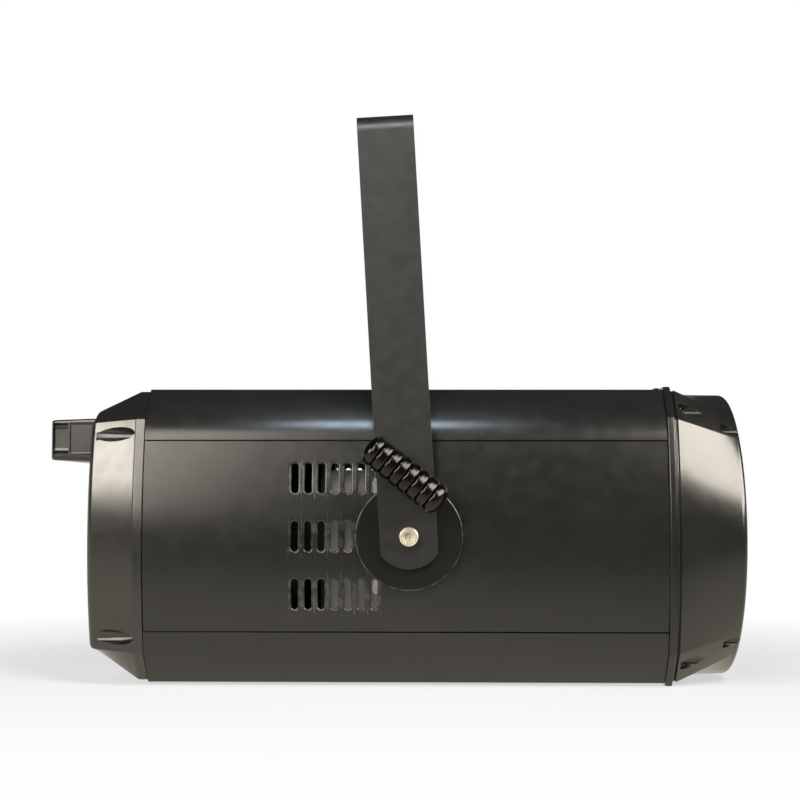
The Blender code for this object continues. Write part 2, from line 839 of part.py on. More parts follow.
def side_panels(materials, housing):
    """The bowed side panels, slotted over the fan and heat sink and bored for the pivot boss."""
    section = panel_line(0.0) + list(reversed(panel_line(PANEL_THICK)))
    for name, sign in SIDES:
        outline = [(sign * y, z) for y, z in section]
        shape = prism(outline, BODY_REAR_X + FIT, BODY_FRONT_X - FIT)
        panel = piece(f"side_panel_{name}", shape, materials["painted_aluminium"], housing)
        low, high = sorted((sign * (CROWN_Y - 2 * SIDE_BOW), sign * (CROWN_Y + SIDE_BOW)))
        holes = [rod(PIVOT_BOSS_RADIUS + FIT, low, high, (PIVOT_X, 0.0), MEDIUM, "Y")]
        for column in range(SLOT_COLUMNS):
            x = PIVOT_X - SLOT_FIRST_BEHIND_PIVOT + column * SLOT_PITCH
            for z in slot_rows():
                holes.append(prism(stadium((x, z), SLOT_WIDTH, SLOT_HEIGHT), low, high, "Y"))
        carve(panel, together(*holes))


# Rear cap and its fittings


def cap_ring(x, inset):
    """The cap's section at a place along the beam."""
    share = max(0.0, min(1.0, (COLLAR_X - x) / CAP_TAPER))
    return place(cap_outline(share, inset), x, "X")


def corner_rods(radius, low, high, across, up, steps=ROUND):
    """Four round bars along the beam, one in each corner."""
    return [rod(radius, low, high, (y * across, z * up), steps) for _, y, z in CORNERS]


def screw_wells(well, bore, mouth, floor, end, across, up):
    """Four stepped cutters: a wide well from its mouth to its floor, then the screw's bore to its end."""
    profile = [(mouth, 0.0), (mouth, well), (floor, well), (floor, bore), (end, bore), (end, 0.0)]
    return [
        turned(lathe(profile, ROUND), Matrix.Translation((0.0, across * y, up * z)))
        for _, y, z in CORNERS
    ]


def rear_cap(materials, housing):
    """Moulded cap: a collar, a tapered skirt and a rear wall with a window, gouged for its four screws."""
    rows = [cap_ring(CAP_FRONT_X, 0.0), cap_ring(COLLAR_X, 0.0)]
    for inset, rise in quarter_round(RIM_ROUND):
        rows.append(cap_ring(RIM_X + RIM_ROUND - rise, inset))
    cap = piece("rear_cap", loft(rows), materials["moulded_plastic"], housing)
    wall_x = RIM_X + CAP_REAR_WALL
    past = CAP_FRONT_X + CAP_WALL
    inside = loft([cap_ring(past, CAP_WALL), cap_ring(COLLAR_X, CAP_WALL), cap_ring(wall_x, CAP_WALL)])
    hollow = piece("cap_hollow", inside, materials["moulded_plastic"], housing)
    boss_radius = CAP_GOUGE_RADIUS + PORT_WALL
    bosses = corner_rods(boss_radius, wall_x - CAP_WALL, past + CAP_WALL, CAP_SCREW_Y, CAP_SCREW_Z)
    carve(hollow, together(*bosses))
    carve(cap, taken(hollow))
    window = rounded_box((-WINDOW_HALF_WIDTH, WINDOW_LOW_Z), (WINDOW_HALF_WIDTH, WINDOW_TOP_Z), WINDOW_ROUND)
    carve(cap, prism(window, RIM_X - CAP_WALL, wall_x + CAP_WALL))
    bore = CAP_SCREW_RADIUS + FIT
    mouth = RIM_X - CAP_WALL
    for well in screw_wells(CAP_GOUGE_RADIUS, bore, mouth, CAP_SCREW_FLOOR_X, past, CAP_SCREW_Y, CAP_SCREW_Z):
        carve(cap, well)


def cap_screws(materials, housing):
    """Four screws down the cap's gouges into the shells' ports."""
    floor = CAP_SCREW_FLOOR_X
    for name, across, up in CORNERS:
        profile = [
            (floor - FIT - CAP_SCREW_HEAD_HEIGHT, 0.0),
            (floor - FIT - CAP_SCREW_HEAD_HEIGHT, CAP_SCREW_HEAD_RADIUS * HEAD_CROWN),
            (floor - FIT - CAP_SCREW_HEAD_HEIGHT / 2, CAP_SCREW_HEAD_RADIUS),
            (floor - FIT, CAP_SCREW_HEAD_RADIUS),
            (floor - FIT, CAP_SCREW_RADIUS),
            (floor + CAP_SCREW_LENGTH, CAP_SCREW_RADIUS),
            (floor + CAP_SCREW_LENGTH, 0.0),
        ]
        at = (0.0, across * CAP_SCREW_Y, up * CAP_SCREW_Z)
        piece(f"cap_screw_{name}", lathe(profile, COARSE), materials["black_steel"], housing, at)


def rear_handle(materials, housing):
    """Moulded carrying handle across the top of the cap's rear wall, its ends panelled."""
    half = HANDLE_WIDTH / 2
    root = RIM_X - FIT
    corner = [(REAR_X + HANDLE_ROUND - rise, half - inset) for inset, rise in quarter_round(HANDLE_ROUND)]
    outline = [(root, -half)] + [(x, -y) for x, y in corner] + list(reversed(corner)) + [
        (root, half), (root, half - HANDLE_ARM), (REAR_X + HANDLE_GRIP, half - HANDLE_ARM),
        (REAR_X + HANDLE_GRIP, -half + HANDLE_ARM), (root, -half + HANDLE_ARM),
    ]
    shape = prism(outline, HANDLE_LOW_Z, HANDLE_TOP_Z, "Z")
    middle = (HANDLE_TOP_Z + HANDLE_LOW_Z) / 2
    for point in shape.verts:
        slim = HANDLE_TAPER * (root - point.co.x) / (root - REAR_X)
        point.co.z -= math.copysign(slim, point.co.z - middle)
    handle = piece("rear_handle", shape, materials["moulded_plastic"], housing)
    divider = REAR_X + HANDLE_GRIP + HANDLE_RIB
    low_z = HANDLE_LOW_Z + HANDLE_LOW_BAND
    high_z = HANDLE_TOP_Z - HANDLE_TOP_BAND
    recesses = []
    for side in (-1, 1):
        near, far = sorted((side * (half - HANDLE_RECESS), side * (half + HANDLE_RECESS)))
        for start, end in (
            (REAR_X + HANDLE_RIB, divider - HANDLE_RIB),
            (divider, root - HANDLE_RIB),
        ):
            recesses.append(box((start, near, low_z), (end, far, high_z)))
    carve(handle, together(*recesses))


def control_panel(materials, housing):
    """The plate behind the cap's window, cut for the buttons, sockets and fuse holder."""
    low = (-WINDOW_HALF_WIDTH - PLATE_OVERLAP, WINDOW_LOW_Z - PLATE_OVERLAP)
    high = (WINDOW_HALF_WIDTH + PLATE_OVERLAP, WINDOW_TOP_Z + PLATE_OVERLAP)
    shape = prism(rounded_box(low, high, WINDOW_ROUND), PLATE_X, PLATE_FRONT_X)
    plate = piece("control_panel", shape, materials["painted_aluminium"], housing)
    start = PLATE_X - PLATE_THICK
    end = PLATE_FRONT_X + PLATE_THICK
    holes = []
    for y in button_places():
        holes.append(rod(BUTTON_RADIUS + FIT, start, end, (y, BUTTON_Z)))
    for y in socket_places():
        holes.append(rod(SOCKET_RADIUS + FIT, start, end, (y, SOCKET_Z), MEDIUM))
    holes.append(rod(FUSE_RADIUS + FIT, start, end, (FUSE_Y, DISPLAY_Z), ROUND))
    carve(plate, together(*holes))


def button_places():
    """Distances across of the buttons, from the left end as the operator sees them."""
    count = len(BUTTON_NAMES)
    return [((count - 1) / 2 - index) * BUTTON_PITCH for index in range(count)]


def socket_places():
    """Distances across of the four sockets."""
    return [(1.5 - index) * SOCKET_PITCH for index in range(4)]


def display_window(materials, housing):
    """The display's tinted window, stuck on the plate."""
    half = DISPLAY_WIDTH / 2
    low = (-half, DISPLAY_Z - DISPLAY_HEIGHT / 2)
    high = (half, DISPLAY_Z + DISPLAY_HEIGHT / 2)
    rear = PLATE_X - FIT - DISPLAY_THICK
    shape = prism(rounded_box(low, high, DISPLAY_THICK), rear, PLATE_X - FIT)
    piece("display_window", shape, materials["display_glass"], housing)


def buttons(materials, housing):
    """Four menu buttons, each a cap with a collar behind the plate, standing clear of its switch."""
    for name, y in zip(BUTTON_NAMES, button_places()):
        at = (PLATE_X - BUTTON_PROUD, y, BUTTON_Z)
        collar = BUTTON_PROUD + PLATE_THICK + FIT
        end = collar + BUTTON_COLLAR_THICK + BUTTON_STEM
        profile = [
            (0.0, 0.0), (0.0, BUTTON_RADIUS * 0.8), (BUTTON_RADIUS * 0.15, BUTTON_RADIUS),
            (collar, BUTTON_RADIUS), (collar, BUTTON_COLLAR_RADIUS),
            (collar + BUTTON_COLLAR_THICK, BUTTON_COLLAR_RADIUS),
            (collar + BUTTON_COLLAR_THICK, BUTTON_RADIUS / 2), (end, BUTTON_RADIUS / 2), (end, 0.0),
        ]
        piece(f"button_{name}", lathe(profile, COARSE), materials["black_plastic"], housing, at)


def control_board(materials, housing):
    """The board behind the plate, on four posts, with a switch under each button."""
    button_end = PLATE_FRONT_X + FIT + BUTTON_COLLAR_THICK + BUTTON_STEM
    board_x = button_end + BUTTON_TRAVEL + RUN_FIT + SWITCH_HEIGHT
    low = (board_x, -BOARD_HALF_WIDTH, BOARD_LOW_Z)
    high = (board_x + BOARD_THICK, BOARD_HALF_WIDTH, BOARD_TOP_Z)
    board = piece("control_board", box(low, high), materials["board_green"], housing)
    sunk = board_x + BOARD_THICK / 2
    half = SWITCH_SIZE / 2
    for y in button_places():
        low = (board_x - SWITCH_HEIGHT, y - half, BUTTON_Z - half)
        high = (sunk, y + half, BUTTON_Z + half)
        carve(board, box(low, high), "UNION")
    for y in (-1, 1):
        for z in (BOARD_LOW_Z + half, BOARD_TOP_Z - half):
            centre = (y * (BOARD_HALF_WIDTH - half), z)
            carve(board, rod(half * 0.8, PLATE_FRONT_X + FIT, sunk, centre, 8), "UNION")


def sockets(materials, housing):
    """Signal in and out and power in and out, each a flange and a barrel through the plate."""
    names = ("signal_inlet", "signal_outlet", "power_outlet", "power_inlet")
    rear = PLATE_X - FIT - SOCKET_FLANGE_THICK
    for name, y in zip(names, socket_places()):
        half = SOCKET_FLANGE_WIDTH / 2
        low = (y - half, SOCKET_Z - SOCKET_FLANGE_HEIGHT / 2)
        high = (y + half, SOCKET_Z + SOCKET_FLANGE_HEIGHT / 2)
        flange = prism(rounded_box(low, high, SOCKET_FLANGE_THICK), rear, PLATE_X - FIT)
        socket = piece(name, flange, materials["black_plastic"], housing)
        end = rear + SOCKET_DEPTH
        start = PLATE_X - FIT - SOCKET_FLANGE_THICK / 2
        carve(socket, rod(SOCKET_RADIUS, start, end, (y, SOCKET_Z), MEDIUM), "UNION")
        mouth = rear + SOCKET_MOUTH
        carve(socket, rod(SOCKET_BORE, rear - SOCKET_FLANGE_THICK, mouth, (y, SOCKET_Z), MEDIUM))
        if name == "signal_inlet":
            for turn in (90, 210, 330):
                angle = math.radians(turn)
                centre = (y + PIN_CIRCLE * math.cos(angle), SOCKET_Z + PIN_CIRCLE * math.sin(angle))
                pin = rod(PIN_RADIUS, mouth - PIN_LENGTH, mouth + PIN_RADIUS, centre, 8)
                carve(socket, pin, "UNION")
        if name == "signal_outlet":
            half = LATCH_WIDTH / 2 + FIT
            top = SOCKET_Z + SOCKET_FLANGE_HEIGHT / 2
            pocket = box(
                (rear - SOCKET_FLANGE_THICK, y - half, top - 2 * FIT - 1.5 * LATCH_HEIGHT),
                (rear + LATCH_TRAVEL + 2 * FIT, y + half, top + LATCH_HEIGHT),
            )
            carve(socket, pocket)


def outlet_latch(materials, housing):
    """The push tab that frees a plug from the signal outlet."""
    y = socket_places()[1]
    rear = PLATE_X - FIT - SOCKET_FLANGE_THICK
    top = SOCKET_Z + SOCKET_FLANGE_HEIGHT / 2
    half = LATCH_WIDTH / 2
    low = (-LATCH_PROUD, -half, -LATCH_HEIGHT / 2)
    high = (FIT, half, LATCH_HEIGHT / 2)
    at = (rear, y, top - LATCH_HEIGHT / 2 - FIT)
    piece("outlet_latch", box(low, high), materials["bright_steel"], housing, at)


def fuse_holder(materials, housing):
    """Screw-cap fuse holder through the plate."""
    profile = [
        (PLATE_X - FIT - FUSE_PROUD, 0.0),
        (PLATE_X - FIT - FUSE_PROUD, FUSE_RADIUS * 0.9),
        (PLATE_X - FIT - FUSE_PROUD / 3, FUSE_RADIUS * 1.0),
        (PLATE_X - FIT - FUSE_PROUD / 3, FUSE_RADIUS * 1.3),
        (PLATE_X - FIT, FUSE_RADIUS * 1.3),
        (PLATE_X - FIT, FUSE_RADIUS),
        (PLATE_X + FUSE_DEPTH, FUSE_RADIUS),
        (PLATE_X + FUSE_DEPTH, 0.0),
    ]
    at = (0.0, FUSE_Y, DISPLAY_Z)
    piece("fuse_holder", lathe(profile, ROUND), materials["black_plastic"], housing, at)


# Front frame and bezel


def front_frame(materials, housing):
    """The plate that closes the body's front end, standing a little proud, with a round light opening."""
    rows = (
        (FRAME_X, -FRAME_PROUD + FRAME_ROUND),
        (FRAME_X + FRAME_ROUND, -FRAME_PROUD),
        (FRAME_FRONT_X - FRAME_ROUND, -FRAME_PROUD),
        (FRAME_FRONT_X, -FRAME_PROUD + FRAME_ROUND),
    )
    shape = loft([place(body_outline(inset), x, "X") for x, inset in rows])
    frame = piece("front_frame", shape, materials["painted_aluminium"], housing)
    carve(frame, rod(FRAME_BORE, FRAME_X - FRAME_THICK, FRAME_FRONT_X + FRAME_THICK, steps=FINE))
    holes = []
    for _, across, up in CORNERS:
        centre = (across * BEZEL_SCREW_Y, up * BEZEL_SCREW_Z)
        start = FRAME_X - FRAME_THICK
        holes.append(rod(BEZEL_SCREW_RADIUS + FIT, start, FRAME_FRONT_X + FRAME_THICK, centre, 8))
    journal = (-ROD_OFFSET, -ROD_HEIGHT)
    depth = FRAME_X + SCREW_JOURNAL_DEPTH + FIT
    holes.append(rod(SCREW_JOURNAL_RADIUS + FIT, FRAME_X - FRAME_THICK, depth, journal))
    carve(frame, together(*holes))


def bezel_ring(x, inset):
    """The bezel's section at a place along the beam: eight-sided at the frame, round where its rim begins."""
    share = max(0.0, min(1.0, (x - BEZEL_X) / (BEZEL_LENGTH - BEZEL_RIM_ROUND)))
    return place(between(body_outline(inset, BEZEL_EDGES), barrel_circle(BEZEL_RADIUS - inset), share), x, "X")


def front_bezel(materials, housing):
    """Moulded bezel lofted from eight sides to a round barrel, gouged for its screws and notched at the rim."""
    rim_x = BEZEL_FRONT_X - BEZEL_RIM_ROUND
    middle = (BEZEL_X + rim_x) / 2
    rows = [bezel_ring(BEZEL_X, 0.0), bezel_ring(middle, 0.0)]
    for inset, rise in quarter_round(BEZEL_RIM_ROUND):
        rows.append(place(barrel_circle(BEZEL_RADIUS - inset), rim_x + rise, "X"))
    bezel = piece("front_bezel", loft(rows), materials["moulded_plastic"], housing)
    back = BEZEL_X - BEZEL_WALL
    lip_x = BEZEL_FRONT_X - BEZEL_LIP
    past = BEZEL_FRONT_X + BEZEL_WALL
    inside = loft([bezel_ring(x, BEZEL_WALL) for x in (back, BEZEL_X, middle, lip_x)])
    hollow = piece("bezel_hollow", inside, materials["moulded_plastic"], housing)
    across, up = BEZEL_SCREW_Y, BEZEL_SCREW_Z
    notch_y = NOTCH_CIRCLE * math.cos(math.radians(NOTCH_ANGLE))
    notch_z = NOTCH_CIRCLE * math.sin(math.radians(NOTCH_ANGLE))
    notch_x = BEZEL_FRONT_X - NOTCH_LENGTH
    carve(hollow, together(*corner_rods(BEZEL_GOUGE_RADIUS + PORT_WALL, back, past, across, up)))
    boss = NOTCH_RADIUS + BEZEL_WALL / 2
    carve(hollow, together(*corner_rods(boss, notch_x - BEZEL_WALL / 2, past, notch_y, notch_z)))
    carve(bezel, taken(hollow))
    carve(bezel, rod(BEZEL_BORE, lip_x - BEZEL_WALL, past, steps=FINE))
    floor = BEZEL_X + BEZEL_FLOOR
    for well in screw_wells(BEZEL_GOUGE_RADIUS, BEZEL_SCREW_RADIUS + FIT, past, floor, back, across, up):
        carve(bezel, well)
    carve(bezel, together(*corner_rods(NOTCH_RADIUS, notch_x, past, notch_y, notch_z, COARSE)))


def bezel_screws(materials, housing):
    """Four screws through the bezel and frame into the shells' ports."""
    floor = BEZEL_X + BEZEL_FLOOR + FIT
    for name, across, up in CORNERS:
        profile = [
            (floor + BEZEL_SCREW_HEAD_HEIGHT, 0.0),
            (floor + BEZEL_SCREW_HEAD_HEIGHT, BEZEL_SCREW_HEAD_RADIUS * HEAD_CROWN),
            (floor + BEZEL_SCREW_HEAD_HEIGHT / 2, BEZEL_SCREW_HEAD_RADIUS),
            (floor, BEZEL_SCREW_HEAD_RADIUS),
            (floor, BEZEL_SCREW_RADIUS),
            (floor - BEZEL_SCREW_LENGTH, BEZEL_SCREW_RADIUS),
            (floor - BEZEL_SCREW_LENGTH, 0.0),
        ]
        at = (0.0, across * BEZEL_SCREW_Y, up * BEZEL_SCREW_Z)
        piece(f"bezel_screw_{name}", lathe(profile, COARSE), materials["black_steel"], housing, at)


# Pivots, yoke and lock handles


def pivot_plate_inner():
    """Distance across to the pivot plates' inner faces, their edges seated on the bowed panels."""
    return panel_inner(PIVOT_PLATE_HEIGHT / 2) - FIT - PIVOT_PLATE_THICK


def pivot_plates(materials, housing):
    """Inner plates that carry the yoke, each with a threaded boss through its side panel."""
    inner = pivot_plate_inner()
    length = PIVOT_PLATE_LENGTH / 2
    height = PIVOT_PLATE_HEIGHT / 2
    outline = rounded_box((PIVOT_X - length, -height), (PIVOT_X + length, height), PIVOT_PLATE_THICK)
    for name, sign in SIDES:
        low, high = sorted((sign * inner, sign * (inner + PIVOT_PLATE_THICK)))
        plate = piece(f"pivot_plate_{name}", prism(outline, low, high, "Y"), materials["galvanised_steel"], housing)
        low, high = sorted((sign * (inner + PIVOT_PLATE_THICK / 2), sign * CROWN_Y))
        carve(plate, rod(PIVOT_BOSS_RADIUS, low, high, (PIVOT_X, 0.0), MEDIUM, "Y"), "UNION")
        low, high = sorted((sign * (inner - PIVOT_PLATE_THICK), sign * (CROWN_Y + PIVOT_PLATE_THICK)))
        carve(plate, rod(PIVOT_SCREW_RADIUS + FIT, low, high, (PIVOT_X, 0.0), ROUND, "Y"))


def across_matrix(sign):
    """Turns a lathe's axis from +X to outward across the beam on one side."""
    return Matrix.Rotation(math.radians(90 * sign), 4, "Z")


def friction_discs(materials, housing):
    """Flat discs between the side panels and the yoke."""
    for name, sign in SIDES:
        bore = PIVOT_SCREW_RADIUS + FIT
        profile = [
            (0.0, bore), (0.0, DISC_RADIUS), (DISC_THICK - DISC_EDGE, DISC_RADIUS),
            (DISC_THICK, DISC_RADIUS - DISC_EDGE), (DISC_THICK, bore),
        ]
        shape = turned(lathe(profile, FINE, closed=True), across_matrix(sign))
        at = (PIVOT_X, sign * DISC_Y, 0.0)
        piece(f"friction_disc_{name}", shape, materials["painted_steel"], housing, at)


def pivot_screws(materials, housing):
    """Socket-head screws on which the yoke turns."""
    start = pivot_plate_inner()
    for name, sign in SIDES:
        seat = STRAP_OUT_Y + FIT - start
        top = seat + PIVOT_HEAD_HEIGHT
        profile = [
            (0.0, 0.0), (0.0, PIVOT_SCREW_RADIUS), (seat, PIVOT_SCREW_RADIUS), (seat, PIVOT_HEAD_RADIUS),
            (top - PIVOT_HEAD_EDGE, PIVOT_HEAD_RADIUS), (top, PIVOT_HEAD_RADIUS - PIVOT_HEAD_EDGE), (top, 0.0),
        ]
        shape = turned(lathe(profile, MEDIUM), across_matrix(sign))
        at = (PIVOT_X, sign * start, 0.0)
        screw = piece(f"pivot_screw_{name}", shape, materials["bright_steel"], housing, at)
        low, high = sorted((sign * (top - PIVOT_KEY_DEPTH), sign * (top + PIVOT_KEY_DEPTH)))
        carve(screw, rod(PIVOT_KEY_RADIUS, low, high, steps=6, axis="Y"))


def strap_line():
    """The yoke's outer and inner lines across the beam, as (across, up) from the pivots."""
    outer = [(STRAP_OUT_Y, STRAP_END_RISE - STRAP_END_RADIUS)]
    inner = [(STRAP_Y, STRAP_END_RISE - STRAP_END_RADIUS)]
    steps = 5
    middle = (STRAP_OUT_Y - STRAP_BEND, YOKE_RISE - STRAP_BEND)
    for step in range(steps + 1):
        angle = math.radians(90 * step / steps)
        away = (math.cos(angle), math.sin(angle))
        outer.append((middle[0] + STRAP_BEND * away[0], middle[1] + STRAP_BEND * away[1]))
        tight = STRAP_BEND - STRAP_THICK
        inner.append((middle[0] + tight * away[0], middle[1] + tight * away[1]))
    outer += [(-y, z) for y, z in reversed(outer)]
    inner += [(-y, z) for y, z in reversed(inner)]
    return outer + list(reversed(inner))


def yoke(materials, tilt):
    """One flat bar bent into a U, its ends rounded about the pivots, bored for the clamp, pivots and locks."""
    half = STRAP_WIDTH / 2
    bar = piece("yoke", prism(strap_line(), -half, half), materials["painted_steel"], tilt)
    steps = 10
    edge = math.asin(half / STRAP_END_RADIUS)
    corner = STRAP_END_RADIUS * math.cos(edge) - STRAP_END_RISE
    below = 2 * STRAP_END_RADIUS
    arc = [-edge + 2 * edge * step / steps for step in range(steps + 1)]
    waste = [
        (STRAP_END_RADIUS * math.sin(a), STRAP_END_RISE - STRAP_END_RADIUS * math.cos(a)) for a in arc
    ]
    waste = [(-half - corner, -corner)] + waste + [(half + corner, -corner), (half + corner, -below)]
    waste.append((-half - corner, -below))
    across = STRAP_OUT_Y + STRAP_THICK
    carve(bar, prism(waste, -across, across, "Y"))
    holes = [
        rod(PIVOT_SCREW_RADIUS + FIT, -across, across, (0.0, 0.0), ROUND, "Y"),
        rod(LOCK_STUD_RADIUS + FIT, -across, across, (0.0, LOCK_RISE), ROUND, "Y"),
    ]
    low = YOKE_RISE - 2 * STRAP_THICK
    high = YOKE_RISE + STRAP_THICK
    for y, radius in ((-SIDE_HOLE_Y, SIDE_HOLE_RADIUS), (0.0, CLAMP_HOLE_RADIUS), (SIDE_HOLE_Y, SIDE_HOLE_RADIUS)):
        holes.append(rod(radius, low, high, (0.0, y), ROUND, "Z"))
    carve(bar, together(*holes))


def grip_profile():
    """The ribbed grip's outline from end to end, as (distance along, radius)."""
    last = GRIP_RIB_PITCH * (GRIP_GROOVES - 1) / 2
    flank = GRIP_GROOVE_DEPTH * 0.75
    dome = GRIP_LENGTH / 2 - last - flank
    end = [(GRIP_LENGTH / 2, 0.0)]
    for angle in (25, 50, 72):
        turn = math.radians(angle)
        end.append((GRIP_LENGTH / 2 - dome * (1 - math.cos(turn)), GRIP_RADIUS * math.sin(turn)))
    points = [(-along, radius) for along, radius in end]
    for groove in range(GRIP_GROOVES):
        centre = -last + groove * GRIP_RIB_PITCH
        points.append((centre - flank, GRIP_RADIUS))
        points.append((centre, GRIP_RADIUS - GRIP_GROOVE_DEPTH))
        points.append((centre + flank, GRIP_RADIUS))
    return points + list(reversed(end))


def lock_handles(materials, tilt):
    """Ribbed T-handles whose studs screw through the yoke towards the body."""
    for name, sign in SIDES:
        axis = empty(f"lock_axis_{name}", tilt, (0.0, sign * (STRAP_OUT_Y + FIT), LOCK_RISE))
        axis.rotation_euler = (0.0, math.radians(LOCK_TURN + YOKE_REST_TILT), 0.0)
        centre = LOCK_NECK_LENGTH + GRIP_RADIUS
        bar = turned(lathe(grip_profile(), ROUND), Matrix.Translation((0.0, sign * centre, 0.0)))
        handle = piece(f"lock_handle_{name}", bar, materials["black_nickel"], axis)
        low, high = sorted((0.0, sign * (LOCK_NECK_LENGTH + GRIP_RADIUS / 2)))
        carve(handle, rod(LOCK_NECK_RADIUS, low, high, steps=ROUND, axis="Y"), "UNION")
        tip = -(FIT + STRAP_THICK + LOCK_STUD_REACH)
        low, high = sorted((sign * tip, sign * LOCK_NECK_LENGTH / 2))
        carve(handle, rod(LOCK_STUD_RADIUS, low, high, steps=COARSE, axis="Y"), "UNION")


# Cooling, light engine and supply


def mid_plate(materials, housing):
    """Bulkhead across the body, on the shells' tongues, holding the sink, the engine and the zoom drive."""
    outline = body_outline(SHELL_SEAT + FIT)
    shape = prism(outline, MID_PLATE_X, MID_PLATE_FRONT_X)
    plate = piece("mid_plate", shape, materials["bare_aluminium"], housing)
    start = MID_PLATE_X - MID_PLATE_THICK
    end = MID_PLATE_FRONT_X + MID_PLATE_THICK
    for side in (-1, 1):
        near, far = sorted((side * (pivot_plate_inner() - FIT), side * (CROWN_Y + SIDE_BOW)))
        reach = PIVOT_PLATE_HEIGHT / 2 + FIT
        carve(plate, box((start, near, -reach), (end, far, reach)))
    holes = [rod(MID_PLATE_BORE, start, end, steps=MEDIUM)]
    for _, across, up in CORNERS:
        for y, z, radius in (
            (CAP_SCREW_Y, CAP_SCREW_Z, CAP_SCREW_RADIUS),
            (BEZEL_SCREW_Y, BEZEL_SCREW_Z, BEZEL_SCREW_RADIUS),
        ):
            holes.append(rod(radius + PORT_WALL + 2 * FIT, start, end, (across * y, up * z)))
    holes.append(rod(SCREW_RADIUS + RUN_FIT, start, end, (-ROD_OFFSET, -ROD_HEIGHT)))
    for hole in holes:
        carve(plate, hole)


def heat_sink(materials, housing):
    """Extruded sink: a base plate against the mid plate and upright fins running back to the fan."""
    half = SINK_WIDTH / 2
    base = SINK_FRONT_X - SINK_BASE
    pitch = (SINK_WIDTH - SINK_FIN_THICK) / (SINK_FINS - 1)
    outline = [(SINK_FRONT_X, -half), (SINK_FRONT_X, half)]
    for fin in range(SINK_FINS):
        outer = half - fin * pitch
        inner = outer - SINK_FIN_THICK
        if fin:
            outline.append((base, outer))
        outline += [(SINK_X, outer), (SINK_X, inner)]
        if fin < SINK_FINS - 1:
            outline.append((base, inner))
    shape = prism(outline, SINK_LOW_Z, SINK_TOP_Z, "Z")
    piece("heat_sink", shape, materials["bare_aluminium"], housing)


def fan_frame(materials, housing):
    """Square fan frame with a round duct and a hub on four struts at the rear."""
    half = FAN_SIZE / 2
    outline = rounded_box((-half, -half), (half, half), FAN_CORNER)
    frame = piece("fan_frame", prism(outline, FAN_X, FAN_FRONT_X), materials["black_plastic"], housing)
    carve(frame, rod(FAN_BORE, FAN_X - FAN_HUB_BASE, FAN_FRONT_X + FAN_HUB_BASE, steps=FINE))
    carve(frame, rod(FAN_HUB_RADIUS, FAN_X, FAN_X + FAN_HUB_BASE, steps=MEDIUM), "UNION")
    reach = FAN_BORE + FAN_STRUT_WIDTH / 4
    for turn in range(2):
        strut = box((FAN_X, -reach, -FAN_STRUT_WIDTH / 2), (FAN_X + FAN_HUB_BASE * 0.9, reach, FAN_STRUT_WIDTH / 2))
        angle = math.radians(45 + 90 * turn)
        carve(frame, turned(strut, Matrix.Rotation(angle, 4, "X")), "UNION")


def fan_rotor(materials, housing):
    """Fan rotor: a cup and its pitched blades."""
    start = FAN_X + FAN_HUB_BASE + FIT
    axis = empty("fan_axis", housing, (start, 0.0, 0.0))
    edge = FAN_ROTOR_LENGTH / 12
    profile = [
        (0.0, 0.0), (0.0, FAN_HUB_RADIUS), (FAN_ROTOR_LENGTH - edge, FAN_HUB_RADIUS),
        (FAN_ROTOR_LENGTH, FAN_HUB_RADIUS - edge), (FAN_ROTOR_LENGTH, 0.0),
    ]
    rotor = piece("fan_rotor", lathe(profile, 2 * FAN_BLADES), materials["black_plastic"], axis)
    middle = FAN_ROTOR_LENGTH / 2
    for blade in range(FAN_BLADES):
        half = FAN_BLADE_LENGTH / 2
        low = (-half, -FAN_BLADE_THICK / 2, FAN_HUB_RADIUS * 0.8)
        high = (half, FAN_BLADE_THICK / 2, FAN_BLADE_RADIUS)
        shape = turned(box(low, high), Matrix.Rotation(math.radians(FAN_BLADE_PITCH), 4, "Z"))
        shape = turned(shape, Matrix.Translation((middle, 0.0, 0.0)))
        carve(rotor, turned(shape, Matrix.Rotation(2 * math.pi * blade / FAN_BLADES, 4, "X")), "UNION")


def led_module(materials, housing):
    """The emitter under its dome, on a square plate against the sink."""
    start = SINK_FRONT_X + FIT
    half = LED_PLATE / 2
    end = start + LED_PLATE_THICK
    module = piece(
        "led_module", box((start, -half, -half), (end, half, half)), materials["phosphor_yellow"], housing
    )
    profile = [(start + LED_PLATE_THICK / 2, 0.0), (start + LED_PLATE_THICK / 2, LED_DOME_RADIUS)]
    for step in range(4):
        angle = math.radians(90 * step / 4)
        profile.append((end + LED_DOME_HEIGHT * math.sin(angle), LED_DOME_RADIUS * math.cos(angle)))
    profile.append((end + LED_DOME_HEIGHT, 0.0))
    carve(module, lathe(profile, MEDIUM), "UNION")


def reflector(materials, housing):
    """Spun reflector cone on a flange against the mid plate."""
    start = MID_PLATE_FRONT_X + FIT
    face = start + REFLECTOR_FLANGE_THICK
    end = start + REFLECTOR_LENGTH
    profile = [
        (start, REFLECTOR_BACK_RADIUS), (start, REFLECTOR_FLANGE_RADIUS), (face, REFLECTOR_FLANGE_RADIUS),
        (face, REFLECTOR_BACK_RADIUS + 2 * REFLECTOR_WALL), (end, REFLECTOR_FRONT_RADIUS),
        (end, REFLECTOR_FRONT_RADIUS - REFLECTOR_WALL),
    ]
    piece("reflector", lathe(profile, MEDIUM, closed=True), materials["bare_aluminium"], housing)


def power_supply(materials, housing):
    """Closed power supply on the bottom shell, behind the fan."""
    low_z = -BODY_HEIGHT / 2 + SHELL_WALL + FIT
    half = SUPPLY_WIDTH / 2
    outline = rounded_box((-half, low_z), (half, low_z + SUPPLY_HEIGHT), SUPPLY_ROUND, 2)
    shape = prism(outline, SUPPLY_X, SUPPLY_FRONT_X)
    piece("power_supply", shape, materials["supply_case"], housing)


# Zoom drive


